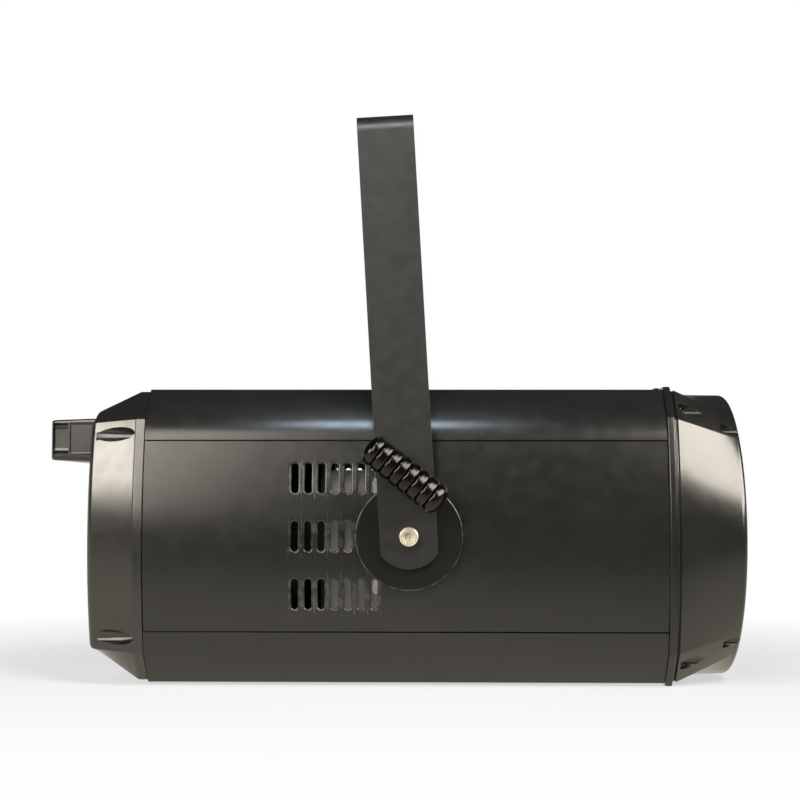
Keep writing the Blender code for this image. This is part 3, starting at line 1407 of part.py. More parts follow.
def guide_rods(materials, housing):
    """Three rods from the mid plate to the front frame."""
    for name, across, up in CORNERS[:3]:
        at = (0.0, across * ROD_OFFSET, up * ROD_HEIGHT)
        shape = rod(ROD_RADIUS, MID_PLATE_FRONT_X + FIT, FRAME_X - FIT)
        piece(f"guide_rod_{name}", shape, materials["bright_steel"], housing, at)


def zoom_motor(materials, housing):
    """Small stepper motor behind the mid plate, on two ears."""
    end = MID_PLATE_X - FIT
    motor = piece(
        "zoom_motor",
        rod(MOTOR_RADIUS, end - MOTOR_LENGTH, end, steps=MEDIUM),
        materials["galvanised_steel"],
        housing,
        (0.0, -ROD_OFFSET, -ROD_HEIGHT),
    )
    reach = MOTOR_RADIUS + MOTOR_EAR_RADIUS
    thick = MID_PLATE_THICK / 2
    low = (end - thick, -MOTOR_EAR_RADIUS, -MOTOR_EAR_RADIUS)
    ear = box(low, (end, reach, MOTOR_EAR_RADIUS))
    carve(motor, turned(ear, Matrix.Rotation(math.radians(ROD_ANGLE), 4, "X")), "UNION")


def lead_screw(materials, housing):
    """The turning screw from the motor to a journal in the front frame."""
    start = MID_PLATE_X
    axis = empty("lead_screw_axis", housing, (start, -ROD_OFFSET, -ROD_HEIGHT))
    neck = MID_PLATE_THICK + FIT
    end = FRAME_X - FIT - start
    profile = [
        (0.0, 0.0), (0.0, SCREW_JOURNAL_RADIUS), (neck, SCREW_JOURNAL_RADIUS), (neck, SCREW_RADIUS),
        (end, SCREW_RADIUS), (end, SCREW_JOURNAL_RADIUS), (end + SCREW_JOURNAL_DEPTH, SCREW_JOURNAL_RADIUS),
        (end + SCREW_JOURNAL_DEPTH, 0.0),
    ]
    piece("lead_screw", lathe(profile, COARSE), materials["bright_steel"], axis)


def lens_carriage(materials, carriage):
    """Ring that holds the lens, with three bushes on the rods and a seat for the drive nut."""
    outer = CARRIAGE_RADIUS
    seat = LENS_RADIUS + FIT
    profile = [
        (0.0, LENS_RADIUS - CARRIAGE_SEAT), (0.0, outer), (CARRIAGE_THICK, outer), (CARRIAGE_THICK, seat),
        (CARRIAGE_FLOOR, seat), (CARRIAGE_FLOOR, LENS_RADIUS - CARRIAGE_SEAT),
    ]
    holder = piece(
        "lens_carriage", lathe(profile, LENS_FACETS, closed=True), materials["black_plastic"], carriage
    )
    middle = CARRIAGE_THICK / 2
    start = middle - CARRIAGE_EAR_LENGTH / 2
    end = middle + CARRIAGE_EAR_LENGTH / 2
    seat_cut = []
    for name, across, up in CORNERS:
        centre = (across * ROD_OFFSET, up * ROD_HEIGHT)
        nut = name == "lower_right"
        low, high = (0.0, CARRIAGE_THICK) if nut else (start, end)
        carve(holder, rod(CARRIAGE_EAR_RADIUS, low, high, centre, ROUND), "UNION")
        web = box((0.0, (seat + outer) / 2, -CARRIAGE_EAR_RADIUS), (CARRIAGE_THICK, ROD_CIRCLE, CARRIAGE_EAR_RADIUS))
        angle = math.atan2(up * ROD_HEIGHT, across * ROD_OFFSET)
        carve(holder, turned(web, Matrix.Rotation(angle, 4, "X")), "UNION")
        bore = NUT_RADIUS + FIT if nut else ROD_RADIUS + FIT
        seat_cut.append(rod(bore, start - middle, end + middle, centre, ROUND))
    carve(holder, together(*seat_cut))


def fresnel_lens(materials, carriage):
    """Stepped lens, flat at the back, in the carriage's seat."""
    start = CARRIAGE_FLOOR + FIT
    edge = start + LENS_EDGE
    profile = [(start, 0.0), (start, LENS_RADIUS), (edge, LENS_RADIUS)]
    width = LENS_RADIUS / (LENS_RINGS + 1)
    for step in range(LENS_RINGS):
        outer = LENS_RADIUS - width * (step + 1) + width / 2
        profile.append((edge, outer))
        profile.append((edge + LENS_STEP, outer - width * 0.85))
    profile.append((edge + LENS_STEP * 1.2, 0.0))
    piece("fresnel_lens", lathe(profile, LENS_FACETS), materials["clear_glass"], carriage)


def lens_ring(materials, carriage):
    """Ring that holds the lens in its seat."""
    start = CARRIAGE_FLOOR + LENS_EDGE + 2 * FIT
    shape = ring(LENS_RADIUS - CARRIAGE_SEAT / 2, LENS_RADIUS, start, start + LENS_RING_THICK, LENS_FACETS)
    piece("lens_ring", shape, materials["bare_aluminium"], carriage)


def drive_nut(materials, carriage):
    """Flanged nut on the lead screw, in the carriage's fourth ear."""
    start = -NUT_FLANGE_THICK - FIT
    bore = SCREW_RADIUS + FIT
    profile = [
        (start, bore), (start, NUT_FLANGE_RADIUS), (-FIT, NUT_FLANGE_RADIUS), (-FIT, NUT_RADIUS),
        (CARRIAGE_THICK, NUT_RADIUS), (CARRIAGE_THICK, bore),
    ]
    at = (0.0, -ROD_OFFSET, -ROD_HEIGHT)
    piece("drive_nut", lathe(profile, ROUND, closed=True), materials["brass"], carriage, at)


def build():
    """Makes every piece under the housing, the tilting yoke and the sliding carriage."""
    clear_scene()
    materials = make_materials()
    housing = empty("housing", at=(0.0, 0.0, AXIS_HEIGHT))
    tilt = empty("yoke_tilt_axis", housing, (PIVOT_X, 0.0, 0.0))
    tilt.rotation_euler = (0.0, math.radians(-YOKE_REST_TILT), 0.0)
    carriage = empty("carriage_slide", housing, (CARRIAGE_X, 0.0, 0.0))
    for make in (
        shells, side_panels, rear_cap, cap_screws, rear_handle, control_panel, display_window, buttons,
        control_board, sockets, outlet_latch, fuse_holder, front_frame, front_bezel, bezel_screws,
        pivot_plates, friction_discs, pivot_screws, mid_plate, heat_sink, fan_frame, fan_rotor,
        led_module, reflector, power_supply, guide_rods, zoom_motor, lead_screw,
    ):
        make(materials, housing)
    for make in (yoke, lock_handles):
        make(materials, tilt)
    for make in (lens_carriage, fresnel_lens, lens_ring, drive_nut):
        make(materials, carriage)
    shade_round()


build()
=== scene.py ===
"""Looks of a zoom stage spotlight: its finishes, its finely made casings and handles, and a pale studio."""

import json
import math

import bmesh
import bpy
from mathutils import Matrix, Vector


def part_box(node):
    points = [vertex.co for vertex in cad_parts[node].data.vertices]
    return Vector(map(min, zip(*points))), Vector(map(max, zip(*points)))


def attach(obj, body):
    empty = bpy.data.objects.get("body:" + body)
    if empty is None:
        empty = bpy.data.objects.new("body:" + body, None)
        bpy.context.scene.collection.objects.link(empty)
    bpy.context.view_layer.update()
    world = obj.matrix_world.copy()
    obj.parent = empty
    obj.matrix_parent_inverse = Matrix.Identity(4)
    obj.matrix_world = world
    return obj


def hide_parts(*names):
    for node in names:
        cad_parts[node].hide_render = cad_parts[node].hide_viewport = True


bl_info = {
    "name": "Zoom Stage Spotlight",
    "version": (1, 0, 0),
    "blender": (4, 5, 0),
    "location": "View3D > Sidebar > Spotlight",
    "description": "Makes the pieces, the finishes and the studio of a zoom stage spotlight",
    "category": "Add Mesh",
}

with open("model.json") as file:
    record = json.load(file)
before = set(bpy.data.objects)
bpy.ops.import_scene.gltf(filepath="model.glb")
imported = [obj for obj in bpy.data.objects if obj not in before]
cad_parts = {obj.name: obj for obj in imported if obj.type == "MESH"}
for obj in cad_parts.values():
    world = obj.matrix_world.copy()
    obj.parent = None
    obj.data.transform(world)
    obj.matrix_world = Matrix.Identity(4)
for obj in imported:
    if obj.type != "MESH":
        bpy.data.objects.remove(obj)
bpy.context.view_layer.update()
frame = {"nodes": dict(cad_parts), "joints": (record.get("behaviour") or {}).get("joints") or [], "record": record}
JOINTS = {joint["name"]: joint for joint in frame["joints"]}


def ends_of(node, axis="x"):
    """A node's two ends along an axis."""
    return [getattr(corner, axis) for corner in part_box(node)]


# Places along the beam and across it, read from the solids
PIVOT = Vector(JOINTS["yoke_tilt"]["pos_m"])
LIFT = Matrix.Translation((0.0, 0.0, PIVOT.z))
RIM_X, CAP_FRONT_X = ends_of("rear_cap")
FRAME_X, FRAME_FRONT_X = ends_of("front_frame")
BEZEL_X, BEZEL_FRONT_X = ends_of("front_bezel")
PLATE_X, PLATE_FRONT_X = ends_of("control_panel")
HALF = 0.103
FIT = 0.0003
QUARTER = math.pi / 2

# The body's section: half height, corner of the side, crown, bow of the side, corner of the top
SIDE_CORNER_Z, SIDE_BOW, TOP_CORNER_Y = 0.0812, 0.011, 0.071
SECTION = (HALF, SIDE_CORNER_Z, HALF, SIDE_BOW, TOP_CORNER_Y)
CORNERS = ((-1, 1), (1, 1), (1, -1), (-1, -1))
# Steps of a quarter: top flat, its fillet, the chamfer, the side's fillet, the side
STATIONS = (7, 5, 6, 5, 12)

# Wells and screws of the cap and the bezel, in the corner of each side
CAP_WELL = (HALF - 0.014, HALF - 0.0325)
BEZEL_WELL = (HALF - 0.0238, HALF - 0.0151)


# Outlines, as (across, up) points


def even(count, end=1.0):
    """Values from 0 to an end in even steps, both ends among them."""
    return [end * step / count for step in range(count + 1)]


def rounded(corner, before, after, radius, steps):
    """Points round a corner, from one direction to another."""
    corner = Vector(corner)
    reach = radius * math.tan(before.angle(after) / 2)
    start, end = corner - before * reach, corner + after * reach
    return [start * (1 - s) ** 2 + corner * 2 * s * (1 - s) + end * s**2 for s in even(steps)]


def spread(start, end, count):
    """Points between two places, without either."""
    return [start.lerp(end, (step + 1) / count) for step in range(count - 1)]


def polar(radius, angle, centre=(0.0, 0.0)):
    """A point at an angle round a centre."""
    return Vector((centre[0] + radius * math.cos(angle), centre[1] + radius * math.sin(angle)))


def quarter(top, side_z, crown, bow, top_y, inset, fillet):
    """The outline's upper right quarter, from its top middle to the middle of its side."""
    start = Vector((top_y, top))
    along = (Vector((crown - bow, side_z)) - start).normalized()
    inner = start + Vector((along.y, -along.x)) * inset
    flat = inner + along * ((top - inset - inner.y) / along.y)
    radius = (side_z**2 + bow**2) / (2 * bow)
    centre, reach = crown - radius, radius - inset
    back = inner - Vector((centre, 0.0))
    half = along.dot(back)
    side = inner + along * (math.sqrt(half**2 - back.length_squared + reach**2) - half)
    turn = math.asin(side.y / reach)
    flats, steps, facets, _, sides = STATIONS
    upper = rounded(flat, Vector((1.0, 0.0)), along, fillet, steps)
    lower = rounded(side, along, Vector((math.sin(turn), -math.cos(turn))), fillet, steps)
    middle = Vector((0.0, top - inset))
    points = [middle] + spread(middle, upper[0], flats) + upper + spread(upper[-1], lower[0], facets) + lower
    last = math.asin(lower[-1].y / reach)
    return points + [polar(reach, last * (1 - step / sides), (centre, 0.0)) for step in range(1, sides + 1)]


def round_quarter(radius, upper, lower, fillet):
    """A quarter circle whose points pair with those of an eight-sided quarter."""
    soft = math.degrees(fillet / radius) * 0.4
    stops = (90.0, upper + soft, upper - soft, lower + soft, lower - soft, 0.0)
    angles = [90.0]
    for start, end, count in zip(stops, stops[1:], STATIONS):
        angles += [start + (end - start) * (step + 1) / count for step in range(count)]
    return [polar(radius, math.radians(angle)) for angle in angles]


def whole(high, low):
    """A closed outline from an upper and a lower quarter, mirrored to the left."""
    right = high + [Vector((y, -z)) for y, z in reversed(low[:-1])]
    return right + [Vector((-y, z)) for y, z in reversed(right[1:-1])]


def circle(radius, steps, centre=(0.0, 0.0)):
    """A circle."""
    return [polar(radius, angle, centre) for angle in even(steps, 2 * math.pi)[:-1]]


def round_box(low, high, radius, steps=6):
    """A rectangle with round corners."""
    points = []
    for first, (y, z) in zip((0, 90, 180, 270), ((1, 1), (-1, 1), (-1, -1), (1, -1))):
        middle = Vector((high[0] if y > 0 else low[0], high[1] if z > 0 else low[1])) - Vector((y, z)) * radius
        for turn in even(steps, 90):
            angle = math.radians(first + turn)
            points.append(middle + Vector((math.cos(angle), math.sin(angle))) * radius)
    return points


def place(outline, at, axis="X"):
    """The outline in space, at a distance along an axis."""
    orders = {"X": lambda a, b: (at, a, b), "Y": lambda a, b: (a, at, b), "Z": lambda a, b: (a, b, at)}
    return [orders[axis](a, b) for a, b in outline]


def quarter_round(radius, steps=6):
    """Insets and rises of a rounded edge, from its side to its end."""
    return [(radius * (1 - math.cos(a)), radius * math.sin(a)) for a in even(steps, QUARTER)]


def eased(along, radius, size, steps=6, facing=1):
    """A turned profile's rounded edge from side to end, as (distance along, radius), its end facing +1 or -1."""
    return [(along + facing * rise, radius - inset) for inset, rise in quarter_round(size, steps)]


# Solids, as bmeshes


def skin(rows, closed=False):
    """Faces over rows of points, with flat ends, or joined into a loop. A row of one point is a tip."""
    shape = bmesh.new()
    rows = [[shape.verts.new(point) for point in row] for row in rows]
    count = max(len(row) for row in rows)
    for first, second in list(zip(rows, rows[1:])) + ([(rows[-1], rows[0])] if closed else []):
        for index in range(count):
            after = (index + 1) % count
            corners = [first[index % len(first)], first[after % len(first)]]
            corners += [second[after % len(second)], second[index % len(second)]]
            corners = list(dict.fromkeys(corners))
            if len(corners) > 2:
                shape.faces.new(corners)
    for row in () if closed else (rows[0], rows[-1]):
        if len(row) > 1:
            shape.faces.new(row)
    bmesh.ops.recalc_face_normals(shape, faces=shape.faces)
    return shape


def prism(outline, low, high, axis="X"):
    """The outline drawn out between two distances."""
    return skin([place(outline, low, axis), place(outline, high, axis)])


def box(low, high):
    """A box between two corners."""
    low, high = zip(*(sorted(pair) for pair in zip(low, high)))
    return prism([(low[1], low[2]), (high[1], low[2]), (high[1], high[2]), (low[1], high[2])], low[0], high[0])


def square(half_y, half_z, low, high, centre=(0.0, 0.0)):
    """A block about a point across the beam, between two distances along it."""
    y, z = centre
    return box((low, y - half_y, z - half_z), (high, y + half_y, z + half_z))


def lathe(profile, steps=64, closed=False, at=(0.0, 0.0, 0.0)):
    """A turned solid about X, from (distance along X, radius) points. A closed profile makes a ring."""
    rows = []
    for along, radius in profile:
        ring = circle(radius, steps if radius > 0 else 1)
        rows.append([(along + at[0], y + at[1], z + at[2]) for y, z in ring])
    return skin(rows, closed)


def rod(radius, low, high, centre=(0.0, 0.0), axis="X", steps=32):
    """A round bar along an axis."""
    return prism(circle(radius, steps, centre), low, high, axis)


def spun(degrees, axis="X"):
    """A turn about an axis."""
    return Matrix.Rotation(math.radians(degrees), 4, axis)


def turned(shape, matrix):
    """The bmesh after a turn or a move."""
    bmesh.ops.transform(shape, matrix=matrix, verts=shape.verts)
    return shape


def moved(shape, across, up, along=0.0):
    """The bmesh moved."""
    return turned(shape, Matrix.Translation((along, across, up)))


def together(*shapes):
    """Several bmeshes as one, the parts used up."""
    joined = bmesh.new()
    for shape in shapes:
        mesh = bpy.data.meshes.new("shape")
        shape.to_mesh(mesh)
        shape.free()
        joined.from_mesh(mesh)
        bpy.data.meshes.remove(mesh)
    return joined


# Objects


def shown(name, shape):
    """An object in the scene from a bmesh."""
    mesh = bpy.data.meshes.new(name)
    shape.to_mesh(mesh)
    shape.free()
    return linked(name, mesh)


def linked(name, data):
    """An object in the scene."""
    item = bpy.data.objects.new(name, data)
    bpy.context.scene.collection.objects.link(item)
    return item


def dropped(item):
    """Removes an object and its mesh."""
    mesh = item.data
    bpy.data.objects.remove(item, do_unlink=True)
    bpy.data.meshes.remove(mesh)


def taken(item):
    """The object's shape as a bmesh, the object removed."""
    shape = bmesh.new()
    shape.from_mesh(item.data)
    dropped(item)
    return shape


def settled(item):
    """Turns the object's modifiers into its mesh."""
    bpy.context.view_layer.update()
    mesh = bpy.data.meshes.new_from_object(item.evaluated_get(bpy.context.evaluated_depsgraph_get()))
    item.modifiers.clear()
    before, item.data = item.data, mesh
    bpy.data.meshes.remove(before)
    mesh.name = item.name
    return item


def carved(item, *shapes, operation="DIFFERENCE"):
    """Cuts each shape from the object, or joins it on."""
    tools = []
    for shape in shapes:
        modifier = item.modifiers.new("carve", "BOOLEAN")
        modifier.operation = operation
        modifier.solver = "EXACT"
        modifier.object = shown("tool", shape)
        tools.append(modifier.object)
    settled(item)
    for tool in tools:
        dropped(tool)
    return item


def cut(shape, *shapes):
    """The bmesh with others cut from it."""
    return taken(carved(shown("blank", shape), *shapes))


def soften(item, width, steps=3):
    """Rounds the sharp edges, marks the rounded faces for the finish's lighter edges (wear and painted highlight), and
    evens the shading.
    """
    item.data.shade_smooth()
    if width:
        for slot in ("face", "edge"):
            item.data.materials.append(bpy.data.materials.get(slot) or bpy.data.materials.new(slot))
        bevel = item.modifiers.new("round", "BEVEL")
        bevel.width, bevel.segments, bevel.material = width, steps, 1
        bevel.limit_method, bevel.angle_limit = "ANGLE", math.radians(38.0)
        bevel.use_clamp_overlap = True
    item.modifiers.new("even", "WEIGHTED_NORMAL").keep_sharp = True
    mesh = settled(item).data
    # Mask of the rounded faces; the finish paints them lighter, partly wear and partly painted highlight.
    marks = mesh.attributes.new("edge", "FLOAT", "CORNER")
    for face in mesh.polygons:
        for corner in face.loop_indices:
            marks.data[corner].value = 1.0 if width and face.material_index == 1 else 0.0
        face.material_index = 0
    return item


def dress(item, slot, body, *nodes):
    """Gives a piece its finish and its body, and hides the nodes that it stands for."""
    item.data.materials.clear()
    item.data.materials.append(finish_of(slot))
    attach(item, body)
    if nodes:
        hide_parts(*nodes)
    return item


def piece(name, shape, slot, nodes=None, body="housing", edge=0.0, cuts=(), matrix=LIFT, steps=3):
    """A finished piece from a bmesh or an object, in place of the node of its name or of other nodes."""
    item = shape if isinstance(shape, bpy.types.Object) else shown(name, shape)
    if cuts:
        carved(item, *cuts)
    soften(item, edge, steps).data.transform(matrix)
    return dress(item, slot, body, *([name] if nodes is None else nodes))


def as_built(node, slot, edge, steps=2):
    """A node's own solid, its doubles merged, its flat faces joined and its edges eased."""
    shape = bmesh.new()
    shape.from_mesh(frame["nodes"][node].data)
    bmesh.ops.remove_doubles(shape, verts=shape.verts, dist=0.000002)
    bmesh.ops.dissolve_limit(
        shape, angle_limit=math.radians(1.0), verts=shape.verts, edges=shape.edges, delimit={"NORMAL"}
    )
    piece(node, shape, slot, edge=edge, matrix=Matrix(), steps=steps)


def spot_of(node):
    """The middle of a node, as (across, up) from the beam's axis."""
    low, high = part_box(node)
    return (low.y + high.y) / 2, (low.z + high.z) / 2 - PIVOT.z


# Trees of nodes


def put(tree, kind, *values, settings=(), **named):
    """A node with its inputs set or linked: in order, or by name with spaces as low dashes."""
    node = tree.nodes.new(kind)
    for label, value in dict(settings).items():
        setattr(node, label, value)
    inputs = [(node.inputs[index], value) for index, value in enumerate(values)]
    inputs += [(node.inputs[label.replace("_", " ")], value) for label, value in named.items()]
    for socket, value in inputs:
        feed(tree, socket, value)
    return node


def feed(tree, socket, value):
    """Links or sets an input. A colour gets its alpha."""
    if isinstance(value, bpy.types.NodeSocket):
        tree.links.new(value, socket)
    else:
        socket.default_value = (*value, 1.0) if socket.type == "RGBA" else value


def reckon(tree, operation, *values):
    """The result of one operation on up to three values."""
    return put(tree, "ShaderNodeMath", *values, settings={"operation": operation}).outputs["Value"]


def node_tree(name, **kinds):
    """An empty tree of geometry with named inputs of these kinds, and the sockets that they give."""
    tree = bpy.data.node_groups.new(name, "GeometryNodeTree")
    for label, kind in kinds.items():
        tree.interface.new_socket(label.replace("_", " "), in_out="INPUT", socket_type="NodeSocket" + kind)
    tree.interface.new_socket("Geometry", in_out="OUTPUT", socket_type="NodeSocketGeometry")
    return tree, tree.nodes.new("NodeGroupInput").outputs


def finish_tree(tree, given, points=None, rotation=(0.0, 0.0, 0.0), mesh=None):
    """Puts the piece on the points, or takes the mesh, makes it real and gives it its material."""
    if mesh is None:
        source = put(tree, "GeometryNodeObjectInfo", Object=given["Piece"]).outputs["Geometry"]
        mesh = put(
            tree, "GeometryNodeInstanceOnPoints", Points=points, Instance=source, Rotation=rotation
        ).outputs["Instances"]
    real = put(tree, "GeometryNodeRealizeInstances", Geometry=mesh).outputs["Geometry"]
    painted = put(tree, "GeometryNodeSetMaterial", Geometry=real, Material=given["Material"]).outputs["Geometry"]
    put(tree, "NodeGroupOutput", painted)
    return tree


def line_of(tree, **inputs):
    """Points in a straight line."""
    return put(tree, "GeometryNodeMeshLine", settings={"mode": "OFFSET"}, **inputs).outputs["Mesh"]


def row_tree():
    """Copies of a piece in a straight row."""
    tree, given = node_tree(
        "row", Piece="Object", Count="Int", First="Vector", Spacing="Vector", Material="Material"
    )
    points = line_of(tree, Count=given["Count"], Start_Location=given["First"], Offset=given["Spacing"])
    return finish_tree(tree, given, points)


def grid_tree():
    """Copies of a piece in rows and columns."""
    tree, given = node_tree(
        "grid", Piece="Object", Columns="Int", Rows="Int", First="Vector", Column_Spacing="Vector",
        Row_Spacing="Vector", Material="Material",
    )
    column = line_of(tree, Count=given["Columns"], Offset=given["Column Spacing"])
    rows = line_of(tree, Count=given["Rows"], Start_Location=given["First"], Offset=given["Row Spacing"])
    both = put(tree, "GeometryNodeInstanceOnPoints", Points=rows, Instance=column).outputs["Instances"]
    return finish_tree(tree, given, put(tree, "GeometryNodeRealizeInstances", Geometry=both).outputs["Geometry"])


def wheel_tree():
    """Copies of a piece turned round the X axis."""
    tree, given = node_tree("wheel", Piece="Object", Count="Int", Turn="Float", Material="Material")
    points = line_of(tree, Count=given["Count"], Offset=(0.0, 0.0, 0.0))
    index = tree.nodes.new("GeometryNodeInputIndex").outputs["Index"]
    turn = put(tree, "ShaderNodeCombineXYZ", reckon(tree, "MULTIPLY", index, given["Turn"])).outputs["Vector"]
    return finish_tree(tree, given, points, turn)


def helix_tree():
    """A thread: a small profile swept along a helix."""
    tree, given = node_tree(
        "helix", Radius="Float", Length="Float", Turns="Float", Thickness="Float", Material="Material"
    )
    radius = given["Radius"]
    spiral = put(
        tree, "GeometryNodeCurveSpiral", Resolution=18, Rotations=given["Turns"], Start_Radius=radius,
        End_Radius=radius, Height=given["Length"],
    ).outputs["Curve"]
    profile = put(tree, "GeometryNodeCurvePrimitiveCircle", Resolution=4, Radius=given["Thickness"]).outputs["Curve"]
    swept = put(tree, "GeometryNodeCurveToMesh", Curve=spiral, Profile_Curve=profile, Fill_Caps=True).outputs["Mesh"]
    return finish_tree(tree, given, mesh=swept)


def grown(name, tree, slot, **inputs):
    """A plain mesh from a tree and its inputs."""
    item = linked(name, bpy.data.meshes.new(name))
    modifier = item.modifiers.new("grow", "NODES")
    modifier.node_group = tree
    sockets = {s.name: s.identifier for s in tree.interface.items_tree if s.in_out == "INPUT"}
    for label, value in {**inputs, "Material": finish_of(slot)}.items():
        modifier[sockets[label.replace("_", " ")]] = value
    return taken(settled(item))


def repeated(name, tree, pattern, slot, **inputs):
    """The shape of a tree's copies of a pattern, as a bmesh, with its marks kept."""
    shape = grown(name, tree, slot, Piece=pattern, **inputs)
    dropped(pattern)
    return shape


# Body


class SPOTLIGHT_OT_shells(bpy.types.Operator):
    """Make the top and bottom shells, their long edges a little rounded"""

    bl_idname = "spotlight.shells"
    bl_label = "Shells"

    def execute(self, context):
        for node in ("top_shell", "bottom_shell"):
            as_built(node, "painted_aluminium", 0.0006, 3)
        return {"FINISHED"}


class PanelSettings(bpy.types.PropertyGroup):
    """Sizes of the side panels and their slots."""

    columns: bpy.props.IntProperty(name="Columns", description="Slots in a row", default=7, min=1)
    rows: bpy.props.IntProperty(name="Rows", description="Rows of slots", default=3, min=1)
    width: bpy.props.FloatProperty(
        name="Slot Width", description="Clear width of a slot", default=0.0045, unit="LENGTH"
    )
    height: bpy.props.FloatProperty(
        name="Slot Height", description="Clear height of a slot", default=0.0205, unit="LENGTH"
    )
    rolled: bpy.props.FloatProperty(
        name="Rolled Edge", description="Radius of the rolled edge round each slot", default=0.0015, unit="LENGTH"
    )
    spacing: bpy.props.FloatProperty(
        name="Column Spacing", description="Between two slots in a row", default=0.00915, unit="LENGTH"
    )
    row_spacing: bpy.props.FloatProperty(
        name="Row Spacing", description="Between two rows", default=0.040, unit="LENGTH"
    )
    behind: bpy.props.FloatProperty(
        name="Behind Pivot", description="From the pivot back to the first column", default=0.0789, unit="LENGTH"
    )
    thick: bpy.props.FloatProperty(name="Thickness", description="Thickness of the sheet", default=0.002, unit="LENGTH")
    boss: bpy.props.FloatProperty(
        name="Pivot Hole", description="Radius of the hole round the pivot's boss", default=0.0123, unit="LENGTH"
    )


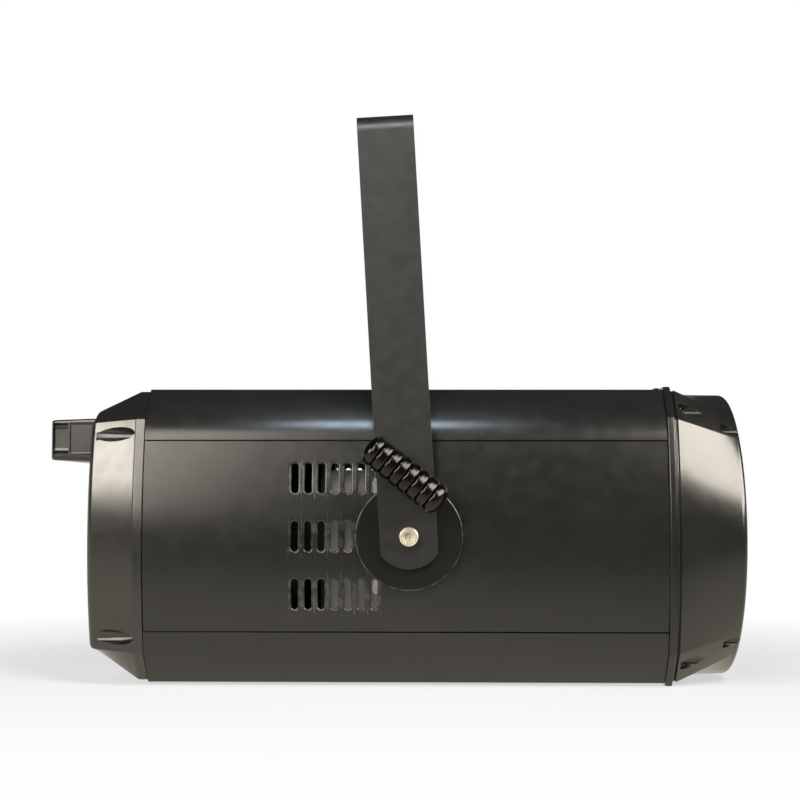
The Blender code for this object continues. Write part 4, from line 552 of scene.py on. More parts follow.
class SPOTLIGHT_OT_side_panels(bpy.types.Operator):
    """Make the bowed side panels with their rolled vent slots"""

    bl_idname = "spotlight.side_panels"
    bl_label = "Side Panels"

    def execute(self, context):
        settings = context.scene.spotlight_panels
        for side, sign in (("right", -1), ("left", 1)):
            item = shown(f"side_panel_{side}", self.flat_sheet(settings))
            self.bow(item.data, sign)
            item.data.transform(LIFT)
            dress(item, "painted_aluminium", "housing", f"side_panel_{side}")
        return {"FINISHED"}

    def flat_sheet(self, settings):
        """The panel laid flat: slotted cells in a grid, a cell round the pivot's hole and plain sheet elsewhere."""
        low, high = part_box("side_panel_right")
        top = high.z - PIVOT.z
        half_x, half_z = settings.spacing / 2, settings.row_spacing / 2
        first = PIVOT.x - settings.behind
        pattern = shown("slot_cell", self.cell(settings, settings.width / 2, settings.height / 2, half_x, half_z))
        cells = repeated(
            "slots", grid_tree(), pattern, "painted_aluminium", Columns=settings.columns, Rows=settings.rows,
            First=(first, 0.0, -settings.row_spacing * (settings.rows - 1) / 2),
            Column_Spacing=(settings.spacing, 0.0, 0.0), Row_Spacing=(0.0, 0.0, settings.row_spacing),
        )
        left = first - half_x
        right = left + settings.columns * settings.spacing
        slotted = half_z * settings.rows
        reach = PIVOT.x - right
        hole = moved(self.cell(settings, settings.boss, settings.boss, reach, reach), 0.0, 0.0, PIVOT.x)
        border = [(0.0, settings.thick)] + quarter_round(0.0004, 3)[::-1]
        across = [(low.x + x, depth) for x, depth in border]
        across += [(x, 0.0) for x in (left, right, PIVOT.x + reach)]
        across += [(high.x - x, depth) for x, depth in reversed(border)]
        inner = sorted([-slotted + up for up in even(48, 2 * slotted)] + [reach, -reach])
        up = [(-top + z, depth) for z, depth in border] + [(z, 0.0) for z in inner]
        up += [(top - z, depth) for z, depth in reversed(border)]
        plain = bmesh.new()
        openings = (left, right, slotted), (right, PIVOT.x + reach, reach)
        for back in (False, True):
            self.lattice(plain, across, up, back, settings, openings)
        sheet = together(cells, hole, plain)
        bmesh.ops.remove_doubles(sheet, verts=sheet.verts, dist=0.000005)
        return sheet

    def lattice(self, shape, across, up, back, settings, openings):
        """One face of the plain sheet, the border with it on the outer face, left open where the cells go."""
        if back:
            across, up = (
                [entry for entry in entries if entry[1] == 0.0 or entry in (entries[0], entries[-1])]
                for entries in (across, up)
            )
        grid = [
            [shape.verts.new((x, settings.thick if back else max(a, b), z)) for z, b in up] for x, a in across
        ]
        for i in range(len(across) - 1):
            for j in range(len(up) - 1):
                x = (across[i][0] + across[i + 1][0]) / 2
                z = (up[j][0] + up[j + 1][0]) / 2
                if not any(low < x < high and abs(z) < reach for low, high, reach in openings):
                    shape.faces.new((grid[i][j], grid[i + 1][j], grid[i + 1][j + 1], grid[i][j + 1]))

    def cell(self, settings, width, height, half_x, half_z):
        """An opening with its rolled edge in a rectangle of flat sheet, as rings from the back to the face."""
        angles = [2 * math.pi * (step + 0.5) / 48 for step in range(48)]
        rolled, thick = settings.rolled, settings.thick
        rings = [(thick, None), (thick, 0.0)]
        rings += [(rolled * (1 - math.sin(turn)), rolled * (1 - math.cos(turn))) for turn in even(6, QUARTER)]
        rings.append((0.0, None))
        shape = bmesh.new()
        rows = []
        for depth, grow in rings:
            rows.append([])
            for angle in angles:
                x = math.cos(angle) * (width + (grow or 0.0))
                z = math.sin(angle) * (width + (grow or 0.0)) + math.copysign(height - width, math.sin(angle))
                if grow is None:
                    reach = min(half_x / abs(x), half_z / abs(z))
                    x, z = x * reach, z * reach
                rows[-1].append(shape.verts.new((x, depth, z)))
        for first, second in zip(rows, rows[1:]):
            for index in range(len(first)):
                after = (index + 1) % len(first)
                shape.faces.new((first[index], first[after], second[after], second[index]))
        for row in (rows[0], rows[-1]):
            for one, two in zip(row, row[1:] + row[:1]):
                flats = [abs(abs(point.co.z) - half_z) < 1e-9 for point in (one, two)]
                if flats[0] != flats[1]:
                    x = math.copysign(half_x, one.co.x + two.co.x)
                    z = math.copysign(half_z, one.co.z + two.co.z)
                    shape.faces.new((two, one, shape.verts.new((x, one.co.y, z))))
        return shape

    def bow(self, mesh, sign):
        """Bends the flat sheet to the side's bow, smooths it and marks its rolled edges, which the finish paints
        lighter as wear and painted highlight.
        """
        radius = (SIDE_CORNER_Z**2 + SIDE_BOW**2) / (2 * SIDE_BOW)
        normals = []
        depths = [vert.co.y for vert in mesh.vertices]
        for vert in mesh.vertices:
            turn = math.asin(vert.co.z / radius)
            away = radius - vert.co.y
            vert.co.y = sign * (HALF - radius + away * math.cos(turn))
            vert.co.z = away * math.sin(turn)
            normals.append(Vector((0.0, sign * math.cos(turn), math.sin(turn))))
        shape = bmesh.new()
        shape.from_mesh(mesh)
        bmesh.ops.recalc_face_normals(shape, faces=shape.faces)
        shape.to_mesh(mesh)
        shape.free()
        mesh.shade_smooth()
        mesh.set_sharp_from_angle(angle=math.radians(50))
        # Rolled rims are marked so that the finish paints them lighter, partly wear and partly painted highlight.
        marks = mesh.attributes.new("edge", "FLOAT", "CORNER")
        for face in mesh.polygons:
            tilt = max(abs(face.normal.dot(normals[index])) for index in face.vertices)
            for corner in face.loop_indices:
                marks.data[corner].value = 1.0 if 0.2 < tilt < 0.97 else 0.0
        splits = [tuple(corner.vector) for corner in mesh.corner_normals]
        for face in mesh.polygons:
            if all(depths[index] == 0.0 for index in face.vertices):
                for corner, index in zip(face.loop_indices, face.vertices):
                    splits[corner] = tuple(normals[index])
        mesh.normals_split_custom_set(splits)


# Rear cap and its handle


def cap_section(share, inset=0.0, fillet=0.0016):
    """The rear cap's section, share 0 at the collar and 1 at the rim."""
    half = HALF - 0.0006
    ends = (SIDE_CORNER_Z, 0.0790), (half, 0.0900), (SIDE_BOW, 0.010), (TOP_CORNER_Y, 0.064)
    shape = [collar + (rim - collar) * share for collar, rim in ends]
    return whole(*(
        quarter(half - step * (1 - share) + (rim - half) * share, *shape, inset, fillet)
        for step, rim in ((0.0010, 0.0863), (0.0008, 0.0795))
    ))


class SPOTLIGHT_OT_rear_cap(bpy.types.Operator):
    """Make the moulded rear cap with its gouges and window"""

    bl_idname = "spotlight.rear_cap"
    bl_label = "Rear Cap"

    def execute(self, context):
        collar_x, wall, past = CAP_FRONT_X - 0.0065, 0.003, 0.004
        taper = collar_x - RIM_X
        blend, ease = 0.0009, 0.004
        end = RIM_X + ease
        rows = [(CAP_FRONT_X, 0.0, 0.0004), (CAP_FRONT_X - 0.0004, 0.0, 0.0)]
        for step in range(6):
            x = collar_x + blend * (1 - 2 * step / 5)
            rows.append((x, (collar_x + blend - x) ** 2 / (4 * blend) / taper, 0.0))
        for step in range(1, 10):
            x = collar_x - blend + (end - collar_x + blend) * step / 9
            rows.append((x, (collar_x - x) / taper, 0.0))
        for inset, rise in quarter_round(ease, 8)[1:]:
            rows.append((end - rise, (collar_x - end + rise) / taper, inset))
        outside = skin([self.ring(*row) for row in rows])
        inner = [(CAP_FRONT_X + 0.003, 0.0), (collar_x, 0.0), (end, (collar_x - end) / taper)]
        posts, wells = [], []
        floor = CAP_FRONT_X - 0.004
        well = [(RIM_X - past, 0.0), (RIM_X - past, 0.0051), (floor - 0.012, 0.0051), (floor, 0.0047)]
        well += [(floor, 0.0022), (CAP_FRONT_X + 0.002, 0.0022), (CAP_FRONT_X + 0.002, 0.0)]
        for across, up in ((y * CAP_WELL[0], z * CAP_WELL[1]) for y, z in CORNERS):
            posts.append(rod(0.0076, end - 0.003, CAP_FRONT_X + 0.006, (across, up)))
            wells.append(lathe(well, 56, at=(0.0, across, up)))
        inside = cut(skin([place(cap_section(share, wall), x) for x, share in inner]), *posts)
        window = prism(round_box((-0.066, -0.070), (0.066, 0.048), 0.006, 8), RIM_X - past, end + past)
        piece("rear_cap", outside, "moulded_plastic", edge=0.0004, cuts=[inside, window, *wells], steps=2)
        return {"FINISHED"}

    def ring(self, x, share, inset):
        """The section in space, its rim drawn a little further back at the middle than at the corners."""
        bulge = 0.0008 * share
        return [(x - bulge * (1 - (z / 0.075) ** 2), y, z) for y, z in cap_section(share, inset)]


class SPOTLIGHT_OT_rear_handle(bpy.types.Operator):
    """Make the moulded handle with a deep pocket and a flat one in each end"""

    bl_idname = "spotlight.rear_handle"
    bl_label = "Rear Handle"

    def execute(self, context):
        low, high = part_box("rear_handle")
        low_z, high_z, half = low.z - PIVOT.z, high.z - PIVOT.z, high.y
        rear, root, grip = low.x, high.x, low.x + 0.0125
        arm = 0.012
        corner = eased(rear + 0.004, half, 0.004, 6, -1)
        outline = [(root, -half)] + [(x, -y) for x, y in corner] + corner[::-1] + [(root, half)]
        throat = eased(grip + 0.003, half - arm, 0.003, 6, -1)
        outline += [(root, half - arm)] + throat + [(x, -y) for x, y in reversed(throat)] + [(root, -half + arm)]
        shape = prism(outline, low_z, high_z, "Z")
        middle = (low_z + high_z) / 2
        for point in shape.verts:
            slim = 0.0013 * (root - point.co.x) / (root - rear)
            point.co.z -= math.copysign(slim, point.co.z - middle)
        rims = [e for e in shape.edges if (e.verts[0].co.z - middle) * (e.verts[1].co.z - middle) > 0]
        bmesh.ops.bevel(
            shape, geom=rims, offset=0.0018, segments=4, profile=0.5, affect="EDGES", clamp_overlap=True
        )
        pockets = (
            (rear + 0.0014, grip, 0.0045, 0.0042, 0.0058, 0.0034),
            (grip + 0.0012, root - 0.0008, 0.0016, 0.0015, 0.0052, 0.0030),
        )
        cuts = []
        for face in (-half, half):
            for start, stop, depth, radius, floor, roof in pockets:
                ends = sorted((face - math.copysign(depth, face), face + math.copysign(0.006, face)))
                pocket = round_box((ends[0], low_z + floor), (ends[1], high_z - roof), radius, 8)
                cuts.append(prism(pocket, start, stop))
        piece("rear_handle", shape, "moulded_plastic", edge=0.0004, cuts=cuts)
        return {"FINISHED"}


# Front frame, bezel and the case's screws


class SPOTLIGHT_OT_front_frame(bpy.types.Operator):
    """Make the thin eight-sided frame that the bezel fastens to"""

    bl_idname = "spotlight.front_frame"
    bl_label = "Front Frame"

    def execute(self, context):
        rounds = quarter_round(0.0010, 4)
        step_x, spigot, flange = FRAME_FRONT_X - 0.0012, 0.0030, 0.002
        rows = [(FRAME_X + 0.0010 - rise, inset) for inset, rise in reversed(rounds)]
        rows += [(FRAME_FRONT_X - 0.0022 + rise, inset) for inset, rise in rounds]
        rows += [(step_x, spigot), (FRAME_FRONT_X, spigot)]
        parts = [(x, quarter(*SECTION, inset - flange, 0.0012)) for x, inset in rows]
        bore = rod(0.094, FRAME_X - 0.01, FRAME_FRONT_X + 0.01, steps=128)
        shape = skin([place(whole(part, part), x) for x, part in parts])
        piece("front_frame", shape, "painted_aluminium", edge=0.0003, cuts=[bore], steps=2)
        return {"FINISHED"}


class SPOTLIGHT_OT_front_bezel(bpy.types.Operator):
    """Make the bezel that turns from eight sides to round, with its gouges and rim notches"""

    bl_idname = "spotlight.front_bezel"
    bl_label = "Front Bezel"

    def execute(self, context):
        rim_x = BEZEL_FRONT_X - 0.004
        seat = BEZEL_X + 0.0014
        rows = [(BEZEL_X, 0.0016), (BEZEL_X + 0.0008, 0.0016), (BEZEL_X + 0.0010, 0.0004), (seat, 0.0)]
        rows += [(seat + x, 0.0) for x in even(16, rim_x - seat)[1:]]
        rows += [(rim_x + rise, inset) for inset, rise in quarter_round(0.004, 8)[1:]]
        outside = skin([self.ring(x, inset) for x, inset in rows])
        back, front = BEZEL_X - 0.003, BEZEL_FRONT_X + 0.003
        lip_x, floor = BEZEL_FRONT_X - 0.0035, BEZEL_X + 0.003
        well = [(front, 0.0), (front, 0.00475), (floor, 0.00475), (floor, 0.0017), (back, 0.0017), (back, 0.0)]
        diagonal = (HALF + 0.0022) * math.sqrt(0.5)
        posts, hollows = [], []
        for y, z in CORNERS:
            across, up = y * BEZEL_WELL[0], z * BEZEL_WELL[1]
            notch = (y * diagonal, z * diagonal)
            posts.append(rod(0.00725, back - 0.003, front + 0.003, (across, up)))
            posts.append(rod(0.0049, BEZEL_FRONT_X - 0.0145, front + 0.003, notch))
            hollows.append(lathe(well, 56, at=(0.0, across, up)))
            hollows.append(rod(0.0040, BEZEL_FRONT_X - 0.0135, front, notch, steps=40))
        inner = [back] + [BEZEL_X + x for x in even(8, lip_x - BEZEL_X)]
        inside = cut(skin([self.ring(x, 0.003) for x in inner]), *posts[::2], *posts[1::2])
        mouth = rod(0.096, lip_x - 0.003, front, steps=160)
        piece("front_bezel", outside, "moulded_plastic", edge=0.0007, cuts=[inside, mouth, *hollows])
        return {"FINISHED"}

    def ring(self, x, inset):
        """The section at a place along the beam, eight-sided at the frame and round where the rim begins."""
        share = max(0.0, min(1.0, (x - BEZEL_X) / (BEZEL_FRONT_X - 0.004 - BEZEL_X)))
        fillet = 0.0018
        pairs = zip(quarter(*SECTION, inset, fillet), round_quarter(HALF - inset, 55.0, 42.0, fillet))
        part = [a.lerp(b, share) for a, b in pairs]
        return place(whole(part, part), x)


class SPOTLIGHT_OT_case_screws(bpy.types.Operator):
    """Make the eight screws down the cap's and bezel's gouges"""

    bl_idname = "spotlight.case_screws"
    bl_label = "Case Screws"

    def execute(self, context):
        shapes, nodes = [], []
        for end, facing, (across, up) in (("cap", 180, CAP_WELL), ("bezel", 0, BEZEL_WELL)):
            low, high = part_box(f"{end}_screw_upper_right")
            radius = (high.y - low.y) / 2
            socket = rod(radius * 0.45, -radius * 0.55, 0.01, steps=6)
            head = soften(carved(shown("screw", self.screw(radius, high.x - low.x)), socket), radius * 0.06, 2)
            top = low.x if facing else high.x
            head.data.transform(Matrix.Translation((top, -across, -up)) @ spun(facing, "Z"))
            shapes.append(repeated(
                f"{end}_screws", grid_tree(), head, "black_steel", Columns=2, Rows=2, First=(0.0, 0.0, 0.0),
                Column_Spacing=(0.0, 2 * across, 0.0), Row_Spacing=(0.0, 0.0, 2 * up),
            ))
            nodes += [name for name in frame["nodes"] if name.startswith(f"{end}_screw_")]
        piece("case_screws", together(*shapes), "black_steel", nodes)
        return {"FINISHED"}

    def screw(self, radius, length):
        """A domed socket head and its shank, the head's top at the origin, facing +X."""
        height = radius * 0.8
        profile = [(0.0, 0.0)] + [
            (-height * 0.6 * (1 - math.cos(a)), radius * (0.35 + 0.65 * math.sin(a))) for a in even(8, QUARTER)
        ]
        profile += [(-height, radius), (-height, radius * 0.5), (-length, radius * 0.5), (-length, 0.0)]
        return lathe(profile, 40)


# Yoke, pivots and lock handles

TILT = Matrix.Translation(PIVOT) @ spun(-3.3, "Y")
DISC_IN_Y, DISC_OUT_Y = ends_of("friction_disc_left", "y")


class SPOTLIGHT_OT_yoke(bpy.types.Operator):
    """Make the flat-bar yoke, its ends round and its edges eased"""

    bl_idname = "spotlight.yoke"
    bl_label = "Yoke"

    def execute(self, context):
        rise, bend, thick, half, end_radius = 0.293, 0.012, 0.004, 0.0198, 0.024
        near = DISC_OUT_Y + FIT
        far = near + thick
        sides = []
        for y, radius in ((far, bend), (near, bend - thick)):
            line = [(y, -0.0222)] + [tuple(polar(radius, a, (far - bend, rise - bend))) for a in even(12, QUARTER)]
            sides.append(line + [(-y, z) for y, z in reversed(line)])
        bar = prism(sides[0] + sides[1][::-1], -half - 0.0002, half - 0.0004)
        end = math.asin(half / end_radius)
        arc = [-end + turn for turn in even(40, 2 * end)]
        waste = [(-0.03, -0.0115)] + [(end_radius * math.sin(a), 0.0018 - end_radius * math.cos(a)) for a in arc]
        waste += [(0.03, -0.0115), (0.03, -0.05), (-0.03, -0.05)]
        cuts = [prism(waste, -0.12, 0.12, "Y")]
        pivot_hole, lock_hole, lock_up = 0.0042, 0.0041, 0.042
        clamp_holes = (-0.040, 0.00525), (0.0, 0.0065), (0.040, 0.00525)
        cuts += [rod(pivot_hole, -0.12, 0.12, axis="Y"), rod(lock_hole, -0.12, 0.12, (0.0, lock_up), "Y")]
        for y, radius in clamp_holes:
            cuts.append(rod(radius, rise - 0.008, rise + 0.004, (0.0, y), "Z", 48))
        piece("yoke", bar, "painted_steel", body="yoke", edge=0.0008, cuts=cuts, matrix=TILT)
        return {"FINISHED"}


class SPOTLIGHT_OT_pivots(bpy.types.Operator):
    """Make the friction discs, the pivot screws and the plates behind them"""

    bl_idname = "spotlight.pivots"
    bl_label = "Pivots"

    def execute(self, context):
        hole, radius, shank, cap = 0.0042, 0.0372, 0.0039, 0.0065
        start, head = ends_of("pivot_screw_left", "y")
        disc = [(DISC_IN_Y, hole), (DISC_IN_Y, radius), (DISC_OUT_Y, radius), (DISC_OUT_Y, hole)]
        screw = [(start, 0.0), (start, shank), (head - 0.0080, shank), (head - 0.0080, cap)]
        screw += eased(head - 0.0008, cap, 0.0008)
        screw += [(head - 0.0001, 0.0056), (head - 0.0015, 0.0055), (head - 0.0015, 0.0049), (head - 0.0003, 0.0048)]
        screw += [(head - 0.0003, 0.0)]
        for side, sign in (("right", -1), ("left", 1)):
            across = LIFT @ Matrix.Translation((PIVOT.x, 0.0, 0.0)) @ spun(90 * sign, "Z")
            item = piece(
                f"friction_disc_{side}", lathe(disc, 160, closed=True), "painted_steel", edge=0.0009, matrix=across,
                steps=4,
            )
            item.data.materials[0] = finish_of("painted_disc")
            cuts = [
                turned(rod(0.0045, head - 0.0009, head + 0.002, steps=6), spun(3)),
                rod(0.0033, head - 0.0045, head + 0.002, steps=6),
            ]
            piece(
                f"pivot_screw_{side}", lathe(screw, 96), "bright_steel", edge=0.0002, cuts=cuts, matrix=across,
                steps=2,
            )
            as_built(f"pivot_plate_{side}", "galvanised_steel", 0.0003)
        return {"FINISHED"}


class GripSettings(bpy.types.PropertyGroup):
    """Sizes of the ribbed grips."""

    length: bpy.props.FloatProperty(name="Length", description="End to end", default=0.065, unit="LENGTH")
    radius: bpy.props.FloatProperty(name="Radius", description="Over the ribs", default=0.011, unit="LENGTH")
    pitch: bpy.props.FloatProperty(name="Rib Spacing", description="Between grooves", default=0.0075, unit="LENGTH")
    grooves: bpy.props.IntProperty(name="Grooves", description="Grooves along the grip", default=7, min=2)
    depth: bpy.props.FloatProperty(name="Groove Depth", description="Depth of a groove", default=0.0016, unit="LENGTH")


class SPOTLIGHT_OT_lock_handles(bpy.types.Operator):
    """Make the ribbed, plated T-handles of the yoke's locks"""

    bl_idname = "spotlight.lock_handles"
    bl_label = "Lock Handles"

    def execute(self, context):
        grip = context.scene.spotlight_grips
        neck = [(0.0, 0.0), (0.0, 0.0060), (0.0004, 0.0065), (0.006, 0.0065), (0.0085, 0.0072)]
        neck += [(0.0105, 0.0086), (0.012, 0.0092), (0.012, 0.0)]
        stud = [(-0.0069, 0.0), (-0.0069, 0.0030), (-0.0062, 0.0038), (0.0005, 0.0038), (0.0005, 0.0)]
        for side, sign in (("right", -1), ("left", 1)):
            name = f"lock_handle_{side}"
            foot = Matrix.Translation(JOINTS[f"lock_turn_{side}"]["pos_m"])
            bar = moved(together(*self.grip_parts(grip)), sign * (0.010 + grip.radius), 0.0)
            stem = [turned(lathe(profile, steps), spun(90 * sign, "Z")) for profile, steps in ((neck, 56), (stud, 32))]
            piece(name, together(bar, *stem), "black_nickel", body=name, matrix=foot @ spun(38.2, "Y"))
        return {"FINISHED"}

    def grip_parts(self, grip):
        """The ribs between the grooves, and the two domed ends."""
        half = grip.pitch / 2
        last = grip.pitch * (grip.grooves - 1) / 2
        lobe = self.lobe(grip)
        rib = shown("rib", lathe([(-half, 0.0)] + lobe + [(half, 0.0)], 64))
        ribs = repeated(
            "ribs", row_tree(), rib, "black_nickel", Count=grip.grooves - 1, First=(-last + half, 0.0, 0.0),
            Spacing=(grip.pitch, 0.0, 0.0),
        )
        dome = [(last, 0.0)] + [(last + half + x, r) for x, r in lobe[: len(lobe) // 2 + 1]]
        start = dome[-1][0]
        end = grip.length / 2
        dome += [(start + (end - start) * math.sin(a), grip.radius * math.cos(a)) for a in even(12, QUARTER)[1:-1]]
        dome.append((end, 0.0))
        return ribs, lathe(dome, 64), turned(lathe(dome, 64), spun(180, "Z"))

    def lobe(self, grip):
        """One rib's outline between two grooves, as (distance along, radius)."""
        points = []
        for step in range(17):
            along = -1 + step / 8
            dip = max(0.0, (abs(along) - 0.38) / 0.62)
            points.append((along * grip.pitch / 2, grip.radius - grip.depth * (1 - math.sqrt(max(0.0, 1 - dip**2)))))
        return points


# Rear panel

BUTTONS = ("menu", "up", "down", "enter")
SOCKETS = ("signal_inlet", "signal_outlet", "power_outlet", "power_inlet")
FACE_X = PLATE_X - FIT
FLANGE_X = FACE_X - 0.0024
BUTTON_RADIUS, BARREL_RADIUS, FUSE_RADIUS = 0.0045, 0.0118, 0.0065


def small_screw(radius, height):
    """A domed head with a cross, its seat at the origin, facing -X."""
    profile = [(0.0005, 0.0), (0.0005, radius), (-height * 0.25, radius)]
    profile += [(-height * (0.25 + 0.75 * math.sin(a)), radius * math.cos(a)) for a in even(8, QUARTER)[1:-1]]
    head = shown("screw", lathe(profile + [(-height, 0.0)], 32))
    return soften(carved(head, *cross(radius * 0.6, radius * 0.12, -height * 0.35)), 0.0)


def cross(reach, half, floor):
    """Two blocks that cut a cross into a head facing -X."""
    return square(reach, half, -0.01, floor), square(half, reach, -0.01, floor)


class SPOTLIGHT_OT_control_panel(bpy.types.Operator):
    """Make the rear plate, its printed field, its screws and the fuse holder"""

    bl_idname = "spotlight.control_panel"
    bl_label = "Control Panel"

    def execute(self, context):
        low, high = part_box("control_panel")
        past = (PLATE_X - 0.002, PLATE_FRONT_X + 0.002)
        spots = [spot_of(f"button_{name}") for name in BUTTONS]
        field = prism(round_box((-0.040, -0.0085), (0.040, 0.0452), 0.004), PLATE_X - 0.00028, PLATE_X - 0.00002)
        piece("printed_field", field, "black_plastic", (), cuts=[rod(0.0050, *past, spot) for spot in spots])
        plate = prism(round_box((low.y, low.z - PIVOT.z), (high.y, high.z - PIVOT.z), 0.006), PLATE_X, PLATE_FRONT_X)
        holes = [rod(BUTTON_RADIUS + FIT, *past, spot) for spot in spots]
        holes += [rod(BARREL_RADIUS + FIT, *past, spot_of(node), steps=64) for node in SOCKETS]
        holes.append(rod(FUSE_RADIUS + FIT, *past, spot_of("fuse_holder"), steps=48))
        piece("control_panel", plate, "painted_aluminium", edge=0.0002, cuts=holes, steps=2)
        screws = repeated(
            "panel_screws", grid_tree(), small_screw(0.0024, 0.0014), "black_steel", Columns=2, Rows=2,
            First=(PLATE_X, -0.0605, -0.0656), Column_Spacing=(0.0, 0.121, 0.0), Row_Spacing=(0.0, 0.0, 0.108),
        )
        piece("panel_screws", screws, "black_steel", ())
        piece("fuse_holder", self.fuse(), "black_plastic")
        return {"FINISHED"}

    def fuse(self):
        """A knurled cap with a coin slot, on a flange, and its body behind the plate."""
        profile = [(-0.0045, 0.0), (-0.0045, 0.0044)] + eased(-0.0039, 0.0052, 0.0006, 4, -1)[::-1]
        profile += [(-0.0018, 0.0054), (-0.0015, 0.0062), (-0.0015, 0.0080), (-0.0010, 0.0084), (0.0, 0.0084)]
        profile += [(0.0, FUSE_RADIUS), (0.0203, FUSE_RADIUS), (0.0203, 0.0)]
        slot = square(0.0040, 0.0007, FACE_X - 0.0050, FACE_X - 0.0034)
        cap = cut(lathe(profile, 56, at=(FACE_X, 0.0, 0.0)), slot)
        knurl = shown("knurl", rod(0.0005, FACE_X - 0.0040, FACE_X - 0.0016, (0.0, 0.0053), steps=8))
        ribs = repeated("knurls", wheel_tree(), knurl, "black_plastic", Count=28, Turn=2 * math.pi / 28)
        return moved(together(cap, ribs), *spot_of("fuse_holder"))


class SPOTLIGHT_OT_controls(bpy.types.Operator):
    """Make the display, the four buttons and the board behind them"""

    bl_idname = "spotlight.controls"
    bl_label = "Display and Buttons"

    def execute(self, context):
        y, z = spot_of("display_window")
        outline = round_box((y - 0.031, z - 0.013), (y + 0.031, z + 0.013), 0.0020)
        piece("display_window", prism(outline, FACE_X - 0.0012, FACE_X), "display_glass", edge=0.0003)
        for name in BUTTONS:
            self.button(name)
        as_built("control_board", "board_green", 0.0001, 1)
        return {"FINISHED"}

    def button(self, name):
        """A dished cap with a raised sign, a collar behind the plate, and a stem."""
        node = f"button_{name}"
        profile = [(0.00035, 0.0), (0.00032, 0.0012), (0.00022, 0.0024), (0.00008, 0.0033), (0.0, 0.0037)]
        profile += eased(0.0008, BUTTON_RADIUS, 0.0008, 5, -1)[::-1]
        profile += [(0.0049, BUTTON_RADIUS), (0.0049, 0.0060), (0.0059, 0.0060), (0.0059, 0.00225), (0.0071, 0.00225)]
        half, foot, bar, thick = 0.0016, 0.0010, 0.0015, 0.0005
        signs = {
            "up": [[(-half, -foot), (half, -foot), (0.0, half)]],
            "down": [[(-half, foot), (0.0, -half), (half, foot)]],
            "menu": [
                [(-bar, low), (bar, low), (bar, low + thick), (-bar, low + thick)] for low in (-0.0012, -0.0002, 0.0008)
            ],
            "enter": [circle(0.0012, 20)],
        }
        marks = [prism(outline, 0.0001, 0.0006) for outline in signs[name]]
        cap = lathe(profile + [(0.0071, 0.0)], 48)
        shape = moved(together(cap, *marks), *spot_of(node), ends_of(node)[0])
        piece(node, shape, "black_plastic", body=node)


class SPOTLIGHT_OT_sockets(bpy.types.Operator):
    """Make the round data and mains sockets and the latch of the data outlet"""

    bl_idname = "spotlight.sockets"
    bl_label = "Sockets"

    def execute(self, context):
        rear, screw_y, screw_z = FLANGE_X, 0.0096, 0.0122
        seat = [(-0.0002, 0.0), (-0.0002, 0.0030), (0.0016, 0.0016), (0.0016, 0.0)]
        head = [(-0.0006, 0.0), (-0.0006, 0.0023), (0.0004, 0.0014), (0.0004, 0.0)]
        for node in SOCKETS:
            item = shown(node, prism(round_box((-0.013, -0.0155), (0.013, 0.0155), 0.0024), rear, FACE_X))
            carved(item, rod(BARREL_RADIUS, FACE_X - 0.0012, rear + 0.024, steps=64), operation="UNION")
            cuts = [rod(0.0095, rear - 0.002, rear + 0.0125, steps=64)]
            cuts += [lathe(seat, 24, at=(rear, side * screw_y, side * screw_z)) for side in (-1, 1)]
            if node == "signal_outlet":
                cuts.append(box((rear - 0.002, -0.0038, 0.0104), (rear + 0.0016, 0.0038, 0.0190)))
            shape = taken(soften(carved(item, *cuts), 0.0004))
            screws = [
                moved(cut(lathe(head, 24), *cross(0.0013, 0.0003, -0.0001)), s * screw_y, s * screw_z, rear + 0.0010)
                for s in (-1, 1)
            ]
            shape = moved(together(shape, *self.insert(node), *screws), *spot_of(node))
            piece(node, shape, "black_plastic")
        self.latch()
        return {"FINISHED"}

    def insert(self, node):
        """What stands in the bore: three pins, three holes, or a mains core with its key slots."""
        floor, start = FLANGE_X + 0.0130, FLANGE_X + 0.0008
        spots = [(0.0045 * math.cos(a), 0.0045 * math.sin(a)) for a in map(math.radians, (90, 210, 330))]
        if node == "signal_inlet":
            pin = [(0.0070, 0.0), (0.0071, 0.0006), (0.0078, 0.0012), (0.0130, 0.0012), (0.0130, 0.0)]
            key = square(0.0010, 0.0012, FLANGE_X + 0.0010, floor, (0.0, -0.0086))
            return [lathe(pin, 20, at=(FLANGE_X, *spot)) for spot in spots] + [key]
        deep = (start - 0.001, floor - 0.003)
        if node == "signal_outlet":
            radius = 0.0080
            cuts = [rod(0.0014, *deep, spot, steps=20) for spot in spots]
            cuts.append(square(0.0012, 0.0012, *deep, (0.0, -0.0078)))
        else:
            radius = 0.0066
            cuts = [square(0.0022, 0.0006, *deep, (0.0, up)) for up in (0.0036, -0.0036)]
            cuts += [square(0.0006, 0.0018, *deep), square(0.0009, 0.0012, *deep, (0.0064, 0.0))]
        profile = [(floor, 0.0), (floor, radius)] + eased(start + 0.0006, radius, 0.0006, 4, -1) + [(start, 0.0)]
        return [cut(lathe(profile, 56), *cuts)]

    def latch(self):
        """The push tab, with three ribs for a thumb."""
        low, high = (corner - Vector((0.0, 0.0, PIVOT.z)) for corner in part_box("outlet_latch"))
        middle = (low.z + high.z) / 2
        past, half = 0.001, 0.0002
        grooves = [
            box((low.x - past, low.y - past, up - half), (low.x + 0.0003, high.y + past, up + half))
            for up in (middle - 0.0008, middle, middle + 0.0008)
        ]
        piece("outlet_latch", box(low, high), "bright_steel", body="outlet_latch", edge=0.0002, cuts=grooves, steps=2)


# Cooling, lamp and supply


